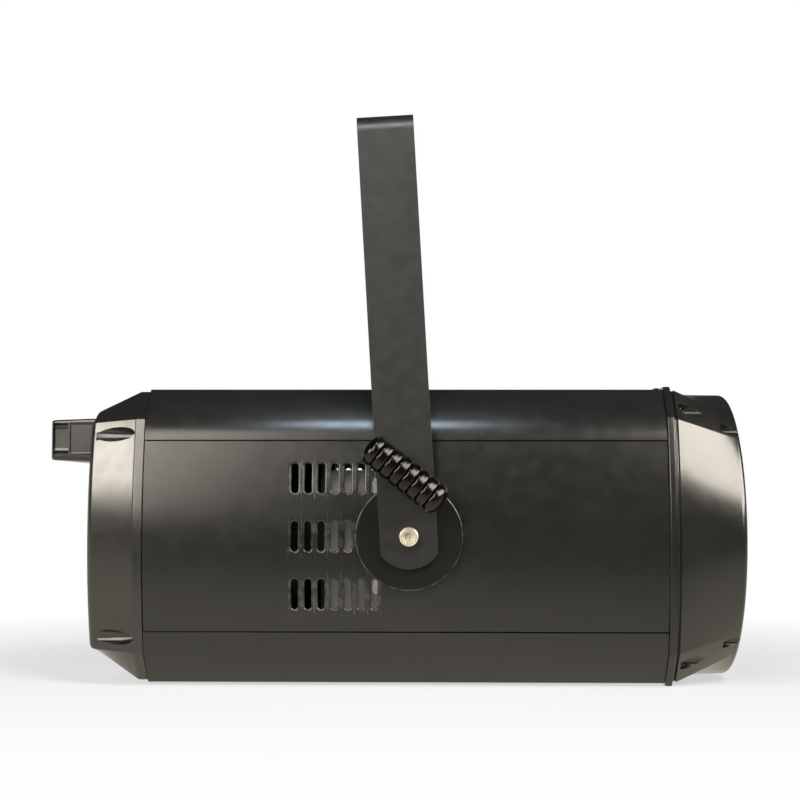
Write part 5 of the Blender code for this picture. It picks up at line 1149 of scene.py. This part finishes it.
class SPOTLIGHT_OT_heat_sink(bpy.types.Operator):
    """Make the heat sink's base and its row of fins"""

    bl_idname = "spotlight.heat_sink"
    bl_label = "Heat Sink"

    def execute(self, context):
        low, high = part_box("heat_sink")
        thick, count = 0.0024, 13
        base = high.x - 0.006
        fin = shown("fin", box(low, (base + 0.001, low.y + thick, high.z)))
        fins = repeated(
            "fins", row_tree(), soften(fin, 0.0005, 2), "bare_aluminium", Count=count, First=(0.0, 0.0, 0.0),
            Spacing=(0.0, (high.y - low.y - thick) / (count - 1), 0.0),
        )
        shape = together(box((base, low.y, low.z), high), fins)
        piece("heat_sink", shape, "bare_aluminium", matrix=Matrix())
        return {"FINISHED"}


class FanSettings(bpy.types.PropertyGroup):
    """Sizes of the fan."""

    blades: bpy.props.IntProperty(name="Blades", description="Blades on the rotor", default=7, min=3, max=11)
    reach: bpy.props.FloatProperty(name="Blade Reach", description="Axis to tip", default=0.0553, unit="LENGTH")
    root_chord: bpy.props.FloatProperty(
        name="Root Width", description="Blade width at the hub", default=0.022, unit="LENGTH"
    )
    tip_chord: bpy.props.FloatProperty(
        name="Tip Width", description="Blade width at the tip", default=0.029, unit="LENGTH"
    )


class SPOTLIGHT_OT_fan(bpy.types.Operator):
    """Make the fan's frame and its rotor with twisted blades"""

    bl_idname = "spotlight.fan"
    bl_label = "Fan"

    def execute(self, context):
        rear, front = ends_of("fan_frame")
        half, flange = 0.060, 0.0045
        waist = [(rear + flange, half), (rear + flange, 0.1), (front - flange, 0.1), (front - flange, half)]
        bore = [(rear - 0.001, 0.0), (rear - 0.001, 0.0592), (rear + 0.0030, 0.0575), (front - 0.0030, 0.0575)]
        bore += [(front + 0.001, 0.0592), (front + 0.001, 0.0)]
        hub = [(rear, 0.0), (rear, 0.0195), (rear + 0.0005, 0.020), (rear + 0.004, 0.020), (rear + 0.004, 0.0)]
        item = shown("fan_frame", prism(round_box((-half, -half), (half, half), 0.006), rear, front))
        places = [(y, z) for y in (-0.0525, 0.0525) for z in (-0.0525, 0.0525)]
        screws = [rod(0.0022, rear - 0.001, front + 0.001, spot, steps=24) for spot in places]
        carved(item, lathe(bore, 96), lathe(waist, 96, closed=True), *screws)
        strut = (rear, -0.0590, -0.003), (rear + 0.0036, 0.0590, 0.003)
        struts = [turned(box(*strut), spun(turn)) for turn in (45, 135)]
        carved(item, lathe(hub, 64), *struts, operation="UNION")
        piece("fan_frame", item, "black_plastic", edge=0.0004, steps=2)
        self.rotor(context.scene.spotlight_fan)
        return {"FINISHED"}

    def rotor(self, fan):
        """A cup with round edges and its blades."""
        start, end = ends_of("fan_rotor")
        length, radius = end - start, 0.020
        hub = [(0.0, 0.0), (0.0, 0.0194), (0.0006, radius)] + eased(length - 0.0020, radius, 0.0020, 5)
        hub += [(length, 0.0120), (length - 0.0006, 0.0116), (length - 0.0006, 0.0)]
        blade = shown("blade", self.blade(fan, length / 2))
        blades = repeated(
            "blades", wheel_tree(), blade, "black_plastic", Count=fan.blades, Turn=2 * math.pi / fan.blades
        )
        shape = moved(together(lathe(hub, 70), blades), 0.0, 0.0, start)
        piece("fan_rotor", shape, "black_plastic", body="fan_rotor")

    def blade(self, fan, middle):
        """A blade that widens and flattens towards its tip, standing on the hub along Z."""
        rings = []
        for share in even(6):
            reach = 0.0185 + (fan.reach - 0.0185) * share
            chord = fan.root_chord + (fan.tip_chord - fan.root_chord) * share
            cosine = 0.0162 / chord
            sine = math.sin(math.acos(cosine))
            ring = []
            for side, steps in ((1, range(10)), (-1, range(1, 9))):
                for along in (side * (-1 + 2 * step / 9) for step in steps):
                    away = 0.0020 * (1 - along**2) + side * 0.0009 * math.sqrt(1 - 0.96 * along**2)
                    x = chord / 2 * along * cosine - away * sine
                    y = chord / 2 * along * sine + away * cosine + 0.004 * share
                    ring.append((middle + x, y, math.sqrt(reach**2 - y**2)))
            rings.append(ring)
        return skin(rings)


class SPOTLIGHT_OT_lamp(bpy.types.Operator):
    """Make the bulkhead, the lamp module, its reflector and the power supply"""

    bl_idname = "spotlight.lamp"
    bl_label = "Lamp and Supply"

    def execute(self, context):
        as_built("mid_plate", "bare_aluminium", 0.0002)
        back = ends_of("led_module")[0]
        face = back + 0.003
        board = prism(round_box((-0.022, -0.022), (0.022, 0.022), 0.002), back, face)
        piece("led_board", board, "bare_aluminium", ["led_module"], edge=0.0003, steps=2)
        dome = [(-0.001, 0.0), (-0.001, 0.0150), (0.0008, 0.0150), (0.0010, 0.0140)]
        dome += [(0.0010 + 0.0060 * math.sin(a), 0.0140 * math.cos(a)) for a in even(12, QUARTER)[1:-1]]
        shape = lathe(dome + [(0.0070, 0.0)], 72, at=(face, 0.0, 0.0))
        piece("led_dome", shape, "phosphor_yellow", ["led_module"])
        cone = [(0.0, 0.020), (0.0, 0.0415), (0.0005, 0.042), (0.0015, 0.042), (0.002, 0.0415), (0.002, 0.0235)]
        wall = [(0.002 + 0.034 * s**1.25, 0.0235 + 0.0125 * math.sin(QUARTER * s)) for s in even(10)[1:]]
        cone += wall + [(x, radius - 0.0015) for x, radius in reversed(wall)] + [(0.002, 0.0215)]
        shape = lathe(cone, 96, closed=True, at=(ends_of("reflector")[0], 0.0, 0.0))
        piece("reflector", shape, "bare_aluminium")
        self.supply()
        return {"FINISHED"}

    def supply(self):
        """A folded case with rows of vent holes on its top."""
        low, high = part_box("power_supply")
        width, top = 0.060, high.z - PIVOT.z
        case = prism(round_box((-width, low.z - PIVOT.z), (width, top), 0.002), low.x, high.x)
        hole = shown("hole", rod(0.0016, top - 0.0008, top + 0.001, axis="Z", steps=12))
        holes = repeated(
            "vents", grid_tree(), hole, "supply_case", Columns=10, Rows=16, First=(low.x + 0.012, -0.045, 0.0),
            Column_Spacing=((high.x - low.x - 0.024) / 9, 0.0, 0.0), Row_Spacing=(0.0, 0.006, 0.0),
        )
        piece("power_supply", case, "supply_case", edge=0.0004, cuts=[holes], steps=2)


# Zoom drive

GUIDE_RADIUS, NUT_RADIUS = 0.004, 0.0058


class SPOTLIGHT_OT_zoom_drive(bpy.types.Operator):
    """Make the guide rods, the threaded lead screw and its motor"""

    bl_idname = "spotlight.zoom_drive"
    bl_label = "Zoom Drive"

    def execute(self, context):
        for node in (f"guide_rod_{name}" for name in ("upper_right", "upper_left", "lower_left")):
            start, end = ends_of(node)
            profile = [(start, 0.0)] + eased(start + 0.0006, GUIDE_RADIUS, 0.0006, 3, -1)[::-1]
            profile += eased(end - 0.0006, GUIDE_RADIUS, 0.0006, 3) + [(end, 0.0)]
            piece(node, lathe(profile, 48, at=(0.0, *spot_of(node))), "bright_steel")
        self.screw()
        as_built("zoom_motor", "galvanised_steel", 0.0004, 3)
        return {"FINISHED"}

    def screw(self):
        """The screw's core, its journals and its thread."""
        rear, front = ends_of("lead_screw")
        spot = spot_of("lead_screw")
        start, end = rear + 0.0033, front - 0.003
        profile = [(rear, 0.0), (rear, 0.003), (start, 0.003), (start, 0.0034), (end, 0.0034), (end, 0.003)]
        core = lathe(profile + [(front, 0.003), (front, 0.0)], 40, at=(0.0, *spot))
        length = end - start - 0.0016
        thread = grown(
            "thread", helix_tree(), "bright_steel", Radius=0.0033, Length=length, Turns=length / 0.002,
            Thickness=0.0007,
        )
        bmesh.ops.recalc_face_normals(thread, faces=thread.faces)
        thread = moved(turned(thread, spun(90, "Y")), *spot, start + 0.0008)
        piece("lead_screw", together(core, thread), "bright_steel", body="lead_screw")


class LensSettings(bpy.types.PropertyGroup):
    """Sizes of the stepped lens."""

    radius: bpy.props.FloatProperty(name="Radius", description="Lens radius", default=0.085, unit="LENGTH")
    steps: bpy.props.IntProperty(name="Steps", description="Rings of the lens", default=22, min=4)
    depth: bpy.props.FloatProperty(name="Step Depth", description="Height of a ring", default=0.0018, unit="LENGTH")


class SPOTLIGHT_OT_lens(bpy.types.Operator):
    """Make the stepped lens, its ring, the carriage and the drive nut"""

    bl_idname = "spotlight.lens"
    bl_label = "Lens and Carriage"

    def execute(self, context):
        lens = context.scene.spotlight_lens
        radius, border = lens.radius, 0.0040
        start = ends_of("lens_carriage")[0] + 0.004
        self.carriage(start, radius)
        flat, edge = start + 0.0033, start + 0.0033 + 0.004
        profile = [(flat, 0.0), (flat, radius - 0.0004), (flat + 0.0004, radius), (edge, radius)]
        width = (radius - border) / (lens.steps + 0.5)
        for outer in (radius - border - width * step for step in range(lens.steps)):
            profile += [
                (edge + rise * lens.depth, outer - inward * width)
                for rise, inward in ((0.0, 0.0), (0.62, 0.45), (1.0, 0.94))
            ]
        profile.append((edge + lens.depth * 1.15, 0.0))
        piece("fresnel_lens", lathe(profile, 144), "clear_glass", body="lens_carriage")
        inner = radius - 0.003
        ring = [(0.0, inner), (0.0, radius), (0.0016, radius), (0.002, radius - 0.0004), (0.002, inner + 0.0006)]
        shape = lathe(ring + [(0.0015, inner)], 128, closed=True, at=(start + 0.0076, 0.0, 0.0))
        piece("lens_ring", shape, "bare_aluminium", body="lens_carriage")
        nut = [(-0.0023, 0.0043), (-0.0023, 0.0072), (-0.0020, 0.0075), (-0.0003, 0.0075), (-0.0003, NUT_RADIUS)]
        nut += [(0.0136, NUT_RADIUS), (0.014, 0.0054), (0.014, 0.0043)]
        shape = lathe(nut, 48, closed=True, at=(start, *spot_of("lead_screw")))
        piece("drive_nut", shape, "brass", body="lens_carriage")
        return {"FINISHED"}

    def carriage(self, start, radius):
        """A ring with a seat, three bushes on the rods and an ear for the nut."""
        outer, bush, seat, lip, end = 0.092, 0.0075, radius + FIT, radius - 0.006, start + 0.014
        profile = [(start, lip), (start, outer), (end, outer), (end, seat), (start + 0.003, seat), (start + 0.003, lip)]
        reach = 0.103
        offset = reach * math.sin(math.radians(45))
        ears, bores = [], []
        for across, up in CORNERS:
            centre = (across * offset, up * offset)
            nut = (across, up) == (-1, -1)
            ends = (start, end) if nut else (start - 0.004, start + 0.018)
            web = box((start, (seat + outer) / 2, -bush), (end, reach, bush))
            turn = Matrix.Rotation(math.atan2(up, across), 4, "X")
            ears += [rod(bush, *ends, centre, steps=48), turned(web, turn)]
            bore = (NUT_RADIUS if nut else GUIDE_RADIUS) + FIT
            bores.append(rod(bore, start - 0.01, start + 0.03, centre, steps=40))
        item = carved(shown("lens_carriage", lathe(profile, 144, closed=True)), *ears, operation="UNION")
        piece("lens_carriage", carved(item, *bores), "black_plastic", body="lens_carriage", edge=0.0005, steps=2)


# Finishes


def place_in(tree, output="Object"):
    """The surface's place, in the object's own coordinates unless told otherwise."""
    return tree.nodes.new("ShaderNodeTexCoord").outputs[output]


def grain(tree, scale, detail=2.0, drawn=(1.0, 1.0, 1.0)):
    """Noise on the object's own coordinates, drawn out by its scales along each axis."""
    spot = put(tree, "ShaderNodeMapping", Vector=place_in(tree), Scale=drawn).outputs["Vector"]
    return put(tree, "ShaderNodeTexNoise", Vector=spot, Scale=scale, Detail=detail).outputs["Fac"]


def flakes(tree, scale):
    """Crystals of even size, each of its own brightness."""
    cells = put(tree, "ShaderNodeTexVoronoi", Vector=place_in(tree), Scale=scale).outputs["Color"]
    return put(tree, "ShaderNodeSeparateColor", cells).outputs["Red"]


def between(tree, source, low, high, start=0.35, end=0.65):
    """A value that runs from low to high as its source runs from start to end."""
    return put(
        tree, "ShaderNodeMapRange", Value=source, From_Min=start, From_Max=end, To_Min=low, To_Max=high
    ).outputs["Result"]


def blended(tree, factor, first, second):
    """One colour over another by a factor."""
    mix = put(tree, "ShaderNodeMix", factor, settings={"data_type": "RGBA"})
    colours = [socket for socket in mix.inputs if socket.type == "RGBA"]
    for socket, value in zip(colours, (first, second)):
        feed(tree, socket, value)
    return next(socket for socket in mix.outputs if socket.type == "RGBA")


def coat(
    name, colour, roughness, metallic=0.0, spread=0.10, patch=25.0, bump=(800.0, 0.00003), worn=0.0,
    drawn=(1.0, 1.0, 1.0), spangle=0.0, **sockets
):
    """A finish with soft patches, a little unevenness, fine bumps, and rounded edges painted lighter, partly as rubbed
    wear and partly as a painted highlight.
    """
    material = bpy.data.materials.new(name + "_finish")
    material.use_nodes = True
    tree = material.node_tree
    pattern = flakes(tree, spangle) if spangle else between(tree, grain(tree, patch, 2.0, drawn), 0.0, 1.0)
    base = blended(tree, pattern, *(tuple(c * share for c in colour) for share in (1 - spread, 1 + spread)))
    # Rounded edges are painted lighter here: partly wear, partly a painted highlight where the edges would catch the
    # lamps.
    if worn:
        mark = put(tree, "ShaderNodeAttribute", settings={"attribute_name": "edge"}).outputs["Fac"]
        rub_and_highlight = reckon(tree, "MULTIPLY", mark, between(tree, grain(tree, 180.0, 4.0), 0.0, worn, 0.4, 0.7))
        base = blended(tree, rub_and_highlight, base, tuple(min(1.0, c * 2.5 + 0.11) for c in colour))
    rough = between(tree, grain(tree, patch * 4, 2.0, drawn), roughness * 0.92, roughness * 1.08)
    bumps = put(tree, "ShaderNodeBump", Distance=bump[1], Height=grain(tree, bump[0], 3.0, drawn)).outputs["Normal"]
    named = {"Metallic": metallic, "Base Color": base, "Roughness": rough, "Normal": bumps, **sockets}
    for label, value in named.items():
        feed(tree, tree.nodes["Principled BSDF"].inputs[label.replace("_", " ")], value)
    return material


def make_finish(slot, look):
    """One finish of the record, by the name of its slot."""
    metal = {"metallic": 1.0}
    finishes = {
        "painted_aluminium": dict(colour=look.panel_colour, roughness=0.25, worn=0.5, Specular_IOR_Level=0.7),
        "painted_steel": dict(colour=look.yoke_colour, roughness=0.40, worn=0.8, Specular_IOR_Level=0.6),
        "painted_disc": dict(colour=look.yoke_colour, roughness=0.22, worn=0.8, Specular_IOR_Level=0.5),
        "moulded_plastic": dict(
            colour=look.moulding_colour, roughness=0.23, bump=(900.0, 0.000006), worn=0.2, Specular_IOR_Level=1.0
        ),
        "display_glass": dict(colour=(0.010, 0.011, 0.013), roughness=0.07, spread=0.05, bump=(200.0, 0.000002)),
        "black_nickel": dict(colour=(0.044, 0.042, 0.040), roughness=0.20, bump=(600.0, 0.000001), **metal),
        "bright_steel": dict(colour=(0.94, 0.89, 0.77), roughness=0.38, drawn=(1.0, 8.0, 1.0), **metal),
        "black_steel": dict(colour=(0.030, 0.029, 0.028), roughness=0.32, **metal),
        "bare_aluminium": dict(colour=(0.62, 0.62, 0.61), roughness=0.52, metallic=0.9, drawn=(0.1, 6.0, 1.0)),
        "supply_case": dict(colour=(0.50, 0.51, 0.52), roughness=0.36, spread=0.18, spangle=160.0, **metal),
        "galvanised_steel": dict(colour=(0.48, 0.49, 0.50), roughness=0.38, spread=0.15, spangle=220.0, **metal),
        "black_plastic": dict(colour=(0.014, 0.014, 0.014), roughness=0.42, patch=60.0, bump=(1800.0, 0.000015)),
        "clear_glass": dict(
            colour=(0.93, 0.96, 0.95), roughness=0.03, spread=0.01, bump=(300.0, 0.000004), Transmission_Weight=1.0,
            IOR=1.52,
        ),
        "board_green": dict(colour=(0.02, 0.12, 0.05), roughness=0.38, spread=0.25, patch=300.0),
        "brass": dict(colour=(0.60, 0.44, 0.18), roughness=0.26, drawn=(12.0, 1.0, 1.0), **metal),
        "phosphor_yellow": dict(colour=(0.80, 0.66, 0.16), roughness=0.30, spread=0.05, Coat_Weight=0.8),
    }
    material = coat(slot, **finishes[slot])
    if slot == "display_glass":
        add_pane(material.node_tree)
    return material


def add_pane(tree):
    """A pane of fine dots behind the tinted window."""
    across, up = spot_of("display_window")
    axes = put(tree, "ShaderNodeSeparateXYZ", place_in(tree)).outputs
    inside = [
        reckon(tree, "COMPARE", axes[axis], centre, reach)
        for axis, centre, reach in (("Y", across, 0.0268), ("Z", up + PIVOT.z, 0.0088))
    ]
    dots = put(
        tree, "ShaderNodeTexChecker", Vector=place_in(tree), Scale=2500.0, Color1=(0.040, 0.062, 0.070),
        Color2=(0.030, 0.048, 0.056),
    ).outputs["Color"]
    base = tree.nodes["Principled BSDF"].inputs["Base Color"]
    feed(tree, base, blended(tree, reckon(tree, "MULTIPLY", *inside), base.links[0].from_socket, dots))


def finish_of(slot):
    """The finish of a slot, made once. The frame's own plain material has the slot's bare name."""
    return bpy.data.materials.get(slot + "_finish") or make_finish(slot, bpy.context.scene.spotlight_looks)


class LookSettings(bpy.types.PropertyGroup):
    """Colours of the main finishes."""

    panel_colour: bpy.props.FloatVectorProperty(
        name="Panel Colour", description="Powder coat of the shells and panels", default=(0.0100, 0.0097, 0.0090),
        subtype="COLOR", min=0.0, max=1.0,
    )
    yoke_colour: bpy.props.FloatVectorProperty(
        name="Yoke Colour", description="Powder coat of the yoke and discs", default=(0.0100, 0.0098, 0.0092),
        subtype="COLOR", min=0.0, max=1.0,
    )
    moulding_colour: bpy.props.FloatVectorProperty(
        name="Moulding Colour", description="Plastic of the cap, bezel and handle", default=(0.0100, 0.0097, 0.0090),
        subtype="COLOR", min=0.0, max=1.0,
    )


class SPOTLIGHT_OT_finishes(bpy.types.Operator):
    """Give every solid of the frame its finish"""

    bl_idname = "spotlight.finishes"
    bl_label = "Finishes"

    def execute(self, context):
        for entry in frame["record"]["subparts"]:
            materials = frame["nodes"][entry["node"]].data.materials
            materials.clear()
            materials.append(finish_of(entry["material_slot"]))
        return {"FINISHED"}


# Studio

WARM, COOL, WHITE = (1.0, 0.93, 0.82), (0.72, 0.87, 1.0), (1.0, 1.0, 1.0)
BODY_SIDE, YOKE_BEND = (0.0, -0.10, 0.14), (-0.01, -0.115, 0.385)


def softbox(name, azimuth, elevation, distance, size, power, colour=WARM, target=BODY_SIDE):
    """A lamp around the object: azimuth 0 is in front of the side that the camera sees, + towards the lens."""
    lamp = bpy.data.lights.new(name, "AREA")
    lamp.shape = "RECTANGLE"
    lamp.size, lamp.size_y = size
    lamp.energy, lamp.color = power, colour
    item = linked(name, lamp)
    turn, rise = math.radians(azimuth), math.radians(elevation)
    away = Vector((math.sin(turn) * math.cos(rise), -math.cos(turn) * math.cos(rise), math.sin(rise)))
    item.location = Vector(target) + away * distance
    item.rotation_euler = (-away).to_track_quat("-Z", "Y").to_euler()
    item.visible_camera = False
    return item


def seen_directly(tree, *kinds):
    """1 for a ray of one of these kinds, else 0."""
    rays = tree.nodes.new("ShaderNodeLightPath").outputs
    value = rays[kinds[0]]
    for kind in kinds[1:]:
        value = reckon(tree, "MAXIMUM", value, rays[kind])
    return value


class StageSettings(bpy.types.PropertyGroup):
    """Sizes of the studio and the camera."""

    lens: bpy.props.FloatProperty(name="Lens", description="Focal length in mm", default=74.60)
    place: bpy.props.FloatVectorProperty(
        name="Camera", description="Camera's place, its height from the beam's axis", default=(0.026, -1.24435, 0.0288),
        subtype="TRANSLATION",
    )
    yaw: bpy.props.FloatProperty(
        name="Yaw", description="Turn to the rear", default=math.radians(1.001), subtype="ANGLE"
    )
    pitch: bpy.props.FloatProperty(name="Pitch", description="Tilt up", default=math.radians(3.258), subtype="ANGLE")
    roll: bpy.props.FloatProperty(name="Roll", description="Lean", default=math.radians(0.069), subtype="ANGLE")


class SPOTLIGHT_OT_stage(bpy.types.Operator):
    """Make the floor, the soft lamps, the world and the camera"""

    bl_idname = "spotlight.stage"
    bl_label = "Studio"

    def execute(self, context):
        scene = context.scene
        softbox("left_softbox", -60, 17, 1.5, (0.50, 0.50), 9.6)
        softbox("near_softbox", -22, 26, 2.5, (0.80, 1.90), 33.0)
        softbox("right_softbox", 58, 31, 1.5, (1.54, 0.98), 45.0).visible_diffuse = False
        softbox("fill_softbox", 38, 42, 1.8, (0.80, 0.80), 26.0).visible_glossy = False
        softbox("bend_softbox", -3, 46, 0.35, (0.16, 0.09), 0.8, COOL, YOKE_BEND)
        mesh = bpy.data.meshes.new("floor")
        mesh.from_pydata([(-6, -6, 0), (6, -6, 0), (6, 6, 0), (-6, 6, 0)], [], [(0, 1, 2, 3)])
        mesh.materials.append(self.floor_finish())
        linked("floor", mesh)
        scene.world = bpy.data.worlds.new("studio_world")
        scene.world.use_nodes = True
        self.shade_world(scene.world.node_tree)
        scene.view_settings.view_transform = "Standard"
        self.camera(scene, scene.spotlight_stage)
        return {"FINISHED"}

    def camera(self, scene, settings):
        """The photo's camera, level with the body on its right side."""
        camera = bpy.data.cameras.new("camera")
        camera.lens, camera.sensor_width = settings.lens, 36.0
        scene.camera = linked("camera", camera)
        scene.camera.location = Vector(settings.place) + Vector((0.0, 0.0, PIVOT.z))
        turn = Matrix.Rotation(settings.yaw, 3, "Z") @ Matrix.Rotation(math.radians(90) + settings.pitch, 3, "X")
        scene.camera.rotation_euler = (turn @ Matrix.Rotation(settings.roll, 3, "Z")).to_euler()

    def floor_finish(self):
        """Pale matt floor that keeps a soft shadow near the object and runs out to white."""
        material = bpy.data.materials.new("studio_floor")
        material.use_nodes = True
        tree = material.node_tree
        shader = tree.nodes["Principled BSDF"]
        for label, value in (("Base Color", (0.78, 0.82, 0.90)), ("Roughness", 0.8), ("Specular IOR Level", 0.1)):
            feed(tree, shader.inputs[label], value)
        reach = put(tree, "ShaderNodeVectorMath", place_in(tree), settings={"operation": "LENGTH"}).outputs["Value"]
        along = put(
            tree, "ShaderNodeVectorMath", place_in(tree), (-0.35, 1.0, 0.0), settings={"operation": "DOT_PRODUCT"}
        ).outputs["Value"]
        far = between(tree, reach, 0.60, 1.0, 0.28, 0.70)
        mirrored = seen_directly(tree, "Is Glossy Ray", "Is Transmission Ray")
        ahead = blended(tree, between(tree, along, 0.15, 0.83, -0.66, -0.15), (0.0, 0.0, 0.0), (1.0, 0.93, 0.78))
        glow = put(tree, "ShaderNodeEmission", blended(tree, mirrored, WHITE, ahead)).outputs["Emission"]
        share = reckon(tree, "MULTIPLY", seen_directly(tree, "Is Camera Ray"), far)
        most = reckon(tree, "MAXIMUM", share, mirrored)
        mix = put(tree, "ShaderNodeMixShader", most, shader.outputs["BSDF"], glow).outputs["Shader"]
        feed(tree, tree.nodes["Material Output"].inputs["Surface"], mix)
        return material

    def shade_world(self, tree):
        """White behind the object, a grey room in front of it, darker overhead."""
        axes = put(tree, "ShaderNodeSeparateXYZ", place_in(tree, "Generated")).outputs
        overhead = between(tree, axes["Z"], 0.0, 1.0, 0.0, 0.8)
        room = blended(tree, overhead, (0.05, 0.048, 0.044), (0.04, 0.043, 0.048))
        behind, low = between(tree, axes["Y"], 0.0, 1.0, 0.0, 0.5), between(tree, axes["Z"], 1.0, 0.0, 0.05, 0.2)
        backdrop = reckon(tree, "MULTIPLY", behind, low)
        backdrop = reckon(tree, "MULTIPLY", backdrop, seen_directly(tree, "Is Glossy Ray", "Is Transmission Ray"))
        white = reckon(tree, "MAXIMUM", backdrop, seen_directly(tree, "Is Camera Ray"))
        feed(tree, tree.nodes["Background"].inputs["Color"], blended(tree, white, room, WHITE))


OPERATORS = (
    SPOTLIGHT_OT_finishes, SPOTLIGHT_OT_shells, SPOTLIGHT_OT_side_panels, SPOTLIGHT_OT_rear_cap,
    SPOTLIGHT_OT_rear_handle, SPOTLIGHT_OT_front_frame, SPOTLIGHT_OT_front_bezel, SPOTLIGHT_OT_case_screws,
    SPOTLIGHT_OT_yoke, SPOTLIGHT_OT_pivots, SPOTLIGHT_OT_lock_handles, SPOTLIGHT_OT_control_panel,
    SPOTLIGHT_OT_controls, SPOTLIGHT_OT_sockets, SPOTLIGHT_OT_heat_sink, SPOTLIGHT_OT_fan, SPOTLIGHT_OT_lamp,
    SPOTLIGHT_OT_zoom_drive, SPOTLIGHT_OT_lens, SPOTLIGHT_OT_stage,
)


class SPOTLIGHT_PT_panel(bpy.types.Panel):
    """Buttons that make the pieces one by one"""

    bl_idname = "SPOTLIGHT_PT_panel"
    bl_label = "Spotlight"
    bl_space_type = "VIEW_3D"
    bl_region_type = "UI"
    bl_category = "Spotlight"

    def draw(self, context):
        for operator in OPERATORS:
            self.layout.operator(operator.bl_idname)


SETTINGS = {
    "spotlight_panels": PanelSettings, "spotlight_grips": GripSettings, "spotlight_looks": LookSettings,
    "spotlight_stage": StageSettings, "spotlight_fan": FanSettings, "spotlight_lens": LensSettings,
}
CLASSES = (*SETTINGS.values(), *OPERATORS, SPOTLIGHT_PT_panel)


def register():
    """Adds the classes and the settings of a scene."""
    for item in CLASSES:
        bpy.utils.register_class(item)
    for name, group in SETTINGS.items():
        setattr(bpy.types.Scene, name, bpy.props.PointerProperty(type=group))


def unregister():
    """Takes them away again."""
    for name in SETTINGS:
        delattr(bpy.types.Scene, name)
    for item in reversed(CLASSES):
        bpy.utils.unregister_class(item)


def main():
    """Makes every piece and the studio."""
    register()
    for operator in OPERATORS:
        group, name = operator.bl_idname.split(".")
        getattr(getattr(bpy.ops, group), name)()


if __name__ == "__main__":
    main()
